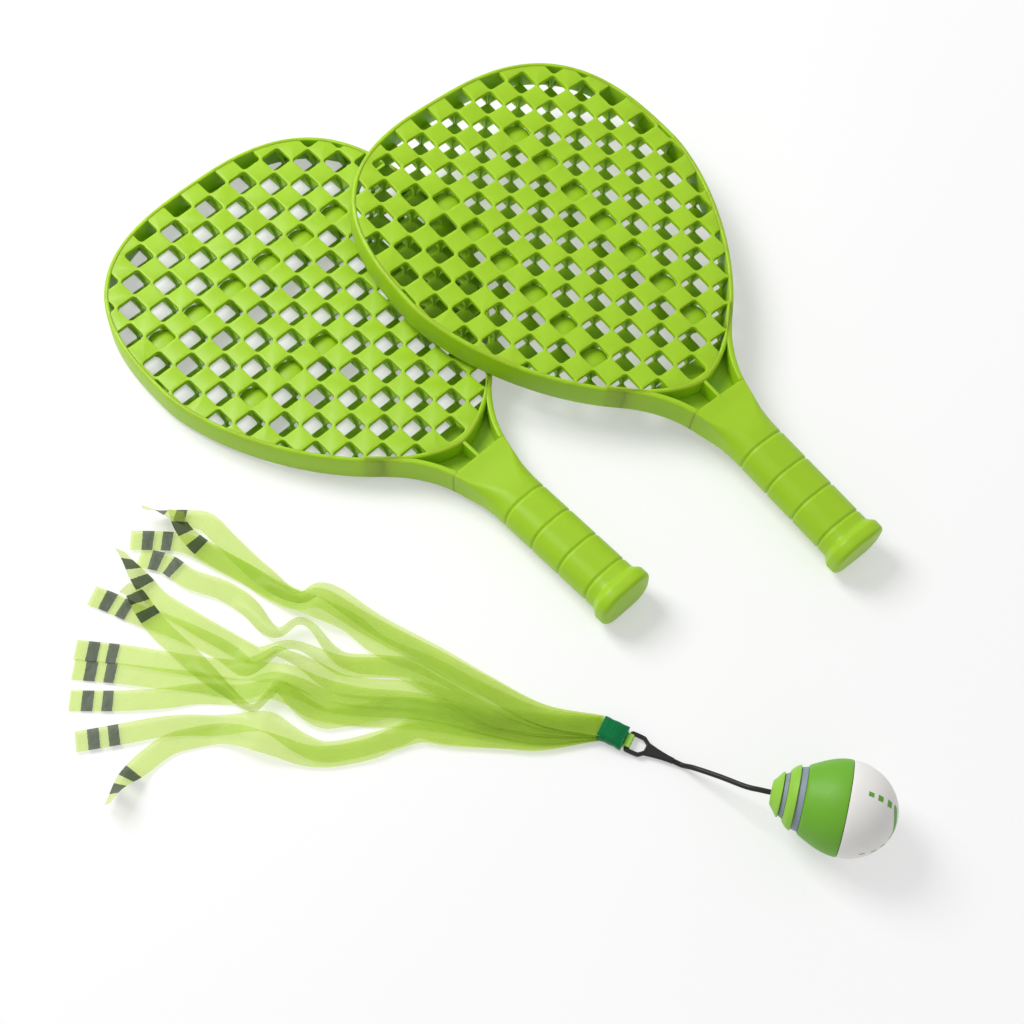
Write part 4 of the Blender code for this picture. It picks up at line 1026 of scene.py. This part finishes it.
def studio_world():
    """White world: full strength for what is seen, mirrored or looked through, and less as light."""
    world = bpy.data.worlds.new("studio")
    world.use_nodes = True
    tree = world.node_tree
    tree.nodes.clear()
    output = add_node(tree, "ShaderNodeOutputWorld")
    ray = add_node(tree, "ShaderNodeLightPath")
    seen = ray.outputs["Is Camera Ray"]
    for kind in ("Is Glossy Ray", "Is Transmission Ray"):
        seen = add_node(tree, "ShaderNodeMath", {0: seen, 1: ray.outputs[kind]}, operation="MAXIMUM")
    level = add_node(tree, "ShaderNodeMapRange", {"Value": seen, "To Min": WORLD_LEVEL, "To Max": 1.0})
    sky = add_node(tree, "ShaderNodeBackground", {"Color": (1.0, 1.0, 1.0, 1.0),
                                                  "Strength": level})
    tree.links.new(sky.outputs[0], output.inputs["Surface"])
    return world


def floor_material(colour):
    """White paper sweep: it takes the shadows, and fades to the white of the world away from the set."""
    material, tree, output = new_material("white_floor")
    ray = add_node(tree, "ShaderNodeLightPath")
    seen = add_node(tree, "ShaderNodeMath", {0: ray.outputs["Is Camera Ray"],
                                             1: ray.outputs["Is Glossy Ray"]}, operation="MAXIMUM")
    paint = add_node(tree, "ShaderNodeBsdfDiffuse", {"Color": rgba(colour)})
    glow = add_node(tree, "ShaderNodeEmission", {"Color": (1.0, 1.0, 1.0, 1.0), "Strength": 1.0})
    place = add_node(tree, "ShaderNodeTexCoord").outputs["Object"]
    away = add_node(tree, "ShaderNodeVectorMath", {0: place}, operation="LENGTH")
    fade = add_node(tree, "ShaderNodeMapRange", {"Value": away.outputs["Value"], "From Min": 0.20,
                                                 "From Max": 0.80, "To Min": FLOOR_GLOW, "To Max": 1.0})
    share = add_node(tree, "ShaderNodeMath", {0: seen, 1: fade},
                     operation="MULTIPLY")
    mixed = add_node(tree, "ShaderNodeMixShader", {0: share, 1: paint, 2: glow})
    tree.links.new(mixed.outputs[0], output.inputs["Surface"])
    return material


# Groups of pieces

def build_stage(settings):
    """Make the camera of the photograph, the lamps, the world and the floor."""
    scene = bpy.context.scene
    lens = bpy.data.cameras.new("photo_camera")
    lens.lens = settings.lens
    lens.sensor_width = 36.0
    lens.clip_start = 0.02
    lens.clip_end = 60.0
    camera = placed("photo_camera", lens, (CAMERA_PLACE + LAYOUT_SHIFT) * MM, CAMERA_FORWARD)
    camera.rotation_quaternion @= Quaternion((0.0, 0.0, 1.0), math.radians(CAMERA_ROLL))
    scene.camera = camera
    scene.world = studio_world()
    for name, place, size, power in LAMPS:
        lamp = bpy.data.lights.new(name, "AREA")
        lamp.shape = "SQUARE"
        lamp.size = size
        lamp.energy = power
        placed(name, lamp, place, -Vector(place))
    mesh = bpy.data.meshes.new("floor")
    edge = np.linspace(-FLOOR_REACH, FLOOR_REACH, 9)
    x, y = np.meshgrid(edge, edge, indexing="ij")
    points = np.stack((x, y, np.full_like(x, -FLOOR_DROP)), -1).reshape(-1, 3)
    mesh.from_pydata(points.tolist(), [], grid_quads(9, 9)[:, ::-1].tolist())
    mesh.materials.append(floor_material(settings.floor))
    floor = bpy.data.objects.new("floor", mesh)
    scene.collection.objects.link(floor)
    scene.view_settings.view_transform = "Standard"


def build_strap(settings):
    """Make the cord, the fork, the film folded round its bar and the tape."""
    rubber = moulded("black_rubber_cord", settings.rubber, 0.42, 0.7, 0.03, tone=0.15, specular=0.32)
    film = moulded("folded_film", settings.fold, 0.28, 2.5, 0.15, tone=0.10, coat=0.3)
    gloss = moulded("green_adhesive_tape", settings.tape, 0.30, 3.0, 0.25, tone=0.12, specular=0.15)
    path = cord_path(settings.cord / MM)
    piece = Piece()
    side, up = path_frames(path)
    turn = np.linspace(0.0, 2.0 * math.pi, 16, endpoint=False)[None, :, None]
    around = np.cos(turn) * side[:, None] + np.sin(turn) * up[:, None]
    piece.add_bar(path[:, None] + 0.5 * settings.cord * around)
    cord = assign(piece.finish("tether_cord_skin", rubber), "tether_cord")
    ring = assign(fork_piece(settings.cord / MM).finish("tether_fork_skin", rubber, fork_matrix()),
                  "tether_fork")
    assign(fold_piece().finish("ribbon_fold_skin", film, fork_matrix()), "ribbon_fold")
    assign(tape_piece().finish("tape_wrap_skin", gloss, fork_matrix()), "tape_wrap")


def build_rackets(settings):
    """Make the two rackets where their CAD nodes stand."""
    plastic = lime_polypropylene(settings.plastic)
    droop = math.degrees(math.asin((BUTT_HALF_THICKNESS - settings.half_height / MM)
                                   / (settings.length / MM - BUTT_EDGE)))
    build_racket(settings, "racket_lower_moulding", "racket_lower",
                 racket_matrix(LOWER_HEADING, -droop, 0.0), plastic, (FACE_OFFSET, FACE_OFFSET), PADS_ACROSS)
    build_racket(settings, "racket_upper_moulding", "racket_upper",
                 racket_matrix(UPPER_HEADING, UPPER_PITCH, UPPER_ROLL), plastic, (-FACE_OFFSET, FACE_OFFSET),
                 PADS_ALONG)


def build_ball(settings):
    """Make the ball: nose, body, rings, bands and the printed dashes."""
    finishes = {"nose": (vinyl("white_vinyl", settings.nose), "nose_white"),
                "body": (vinyl("green_vinyl", settings.body), "ball_green"),
                "ring": (vinyl("lime_vinyl", settings.rings), "ball_green"),
                "band": (vinyl("grey_vinyl", settings.bands, 0.55), "band_grey")}
    for part, profile in ball_profiles().items():
        material, slot = finishes[part.split("_")[0]]
        piece = Piece()
        turned(piece, profile, settings.steps)
        assign(piece.finish(f"ball_{part}_skin", material, ball_matrix()), f"ball_{part}")
    ink = vinyl("green_print", settings.marks, 0.45)
    piece = Piece()
    add_marks(piece)
    marks = piece.finish("nose_dashes", ink, ball_matrix())
    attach(marks, "root")


def build_tail(settings):
    """Make the twelve ribbons of the tail."""
    film = film_material(settings.film, settings.stripe)
    for layer, name in enumerate(RIBBON_ROUTES):
        points, uv, length = ribbon_surface(name, layer, settings.width / MM)
        piece = Piece()
        piece.add(points, grid_quads(*points.shape[:2]))
        ribbon = assign(piece.finish(f"{name}_film", film, angle=60.0), name)
        layer_uv = ribbon.data.uv_layers.new(name="film")
        corner = np.zeros(len(ribbon.data.loops), int)
        ribbon.data.loops.foreach_get("vertex_index", corner)
        layer_uv.data.foreach_set("uv", uv.reshape(-1, 2)[corner].ravel())


# Operators and panel

def operator_class(name, build):
    """Operator that makes one group of pieces from its settings."""
    def execute(self, context):
        build(getattr(context.scene, f"racketset_{name}"))
        return {"FINISHED"}

    return type(f"RACKETSET_OT_{name}", (bpy.types.Operator,), {
        "bl_idname": f"racketset.{name}", "bl_label": f"Make the {name}", "__doc__": build.__doc__,
        "execute": execute})


class RACKETSET_PT_panel(bpy.types.Panel):
    """Panel that lists the pieces of the set"""
    bl_idname = "RACKETSET_PT_panel"
    bl_label = "Racket set"
    bl_space_type = "VIEW_3D"
    bl_region_type = "UI"
    bl_category = "Racket set"

    def draw(self, context):
        for name, (group, _) in GROUPS.items():
            box = self.layout.box()
            box.operator(f"racketset.{name}")
            for prop in group.__annotations__:
                box.prop(getattr(context.scene, f"racketset_{name}"), prop)


# Each group's name serves its operator and its settings; the pieces are made in this order
GROUPS = {
    "stage": (StageSettings, build_stage),
    "strap": (StrapSettings, build_strap),
    "rackets": (RacketSettings, build_rackets),
    "ball": (BallSettings, build_ball),
    "tail": (TailSettings, build_tail),
}
CLASSES = [RACKETSET_PT_panel]
for group_name, (group_settings, group_build) in GROUPS.items():
    CLASSES += [group_settings, operator_class(group_name, group_build)]


def register():
    for each in CLASSES:
        bpy.utils.register_class(each)
    for name, (group, _) in GROUPS.items():
        setattr(bpy.types.Scene, f"racketset_{name}", PointerProperty(type=group))


def unregister():
    for name in GROUPS:
        delattr(bpy.types.Scene, f"racketset_{name}")
    for each in reversed(CLASSES):
        bpy.utils.unregister_class(each)


def main():
    register()
    for name in GROUPS:
        getattr(bpy.ops.racketset, name)()


if __name__ == "__main__":
    main()
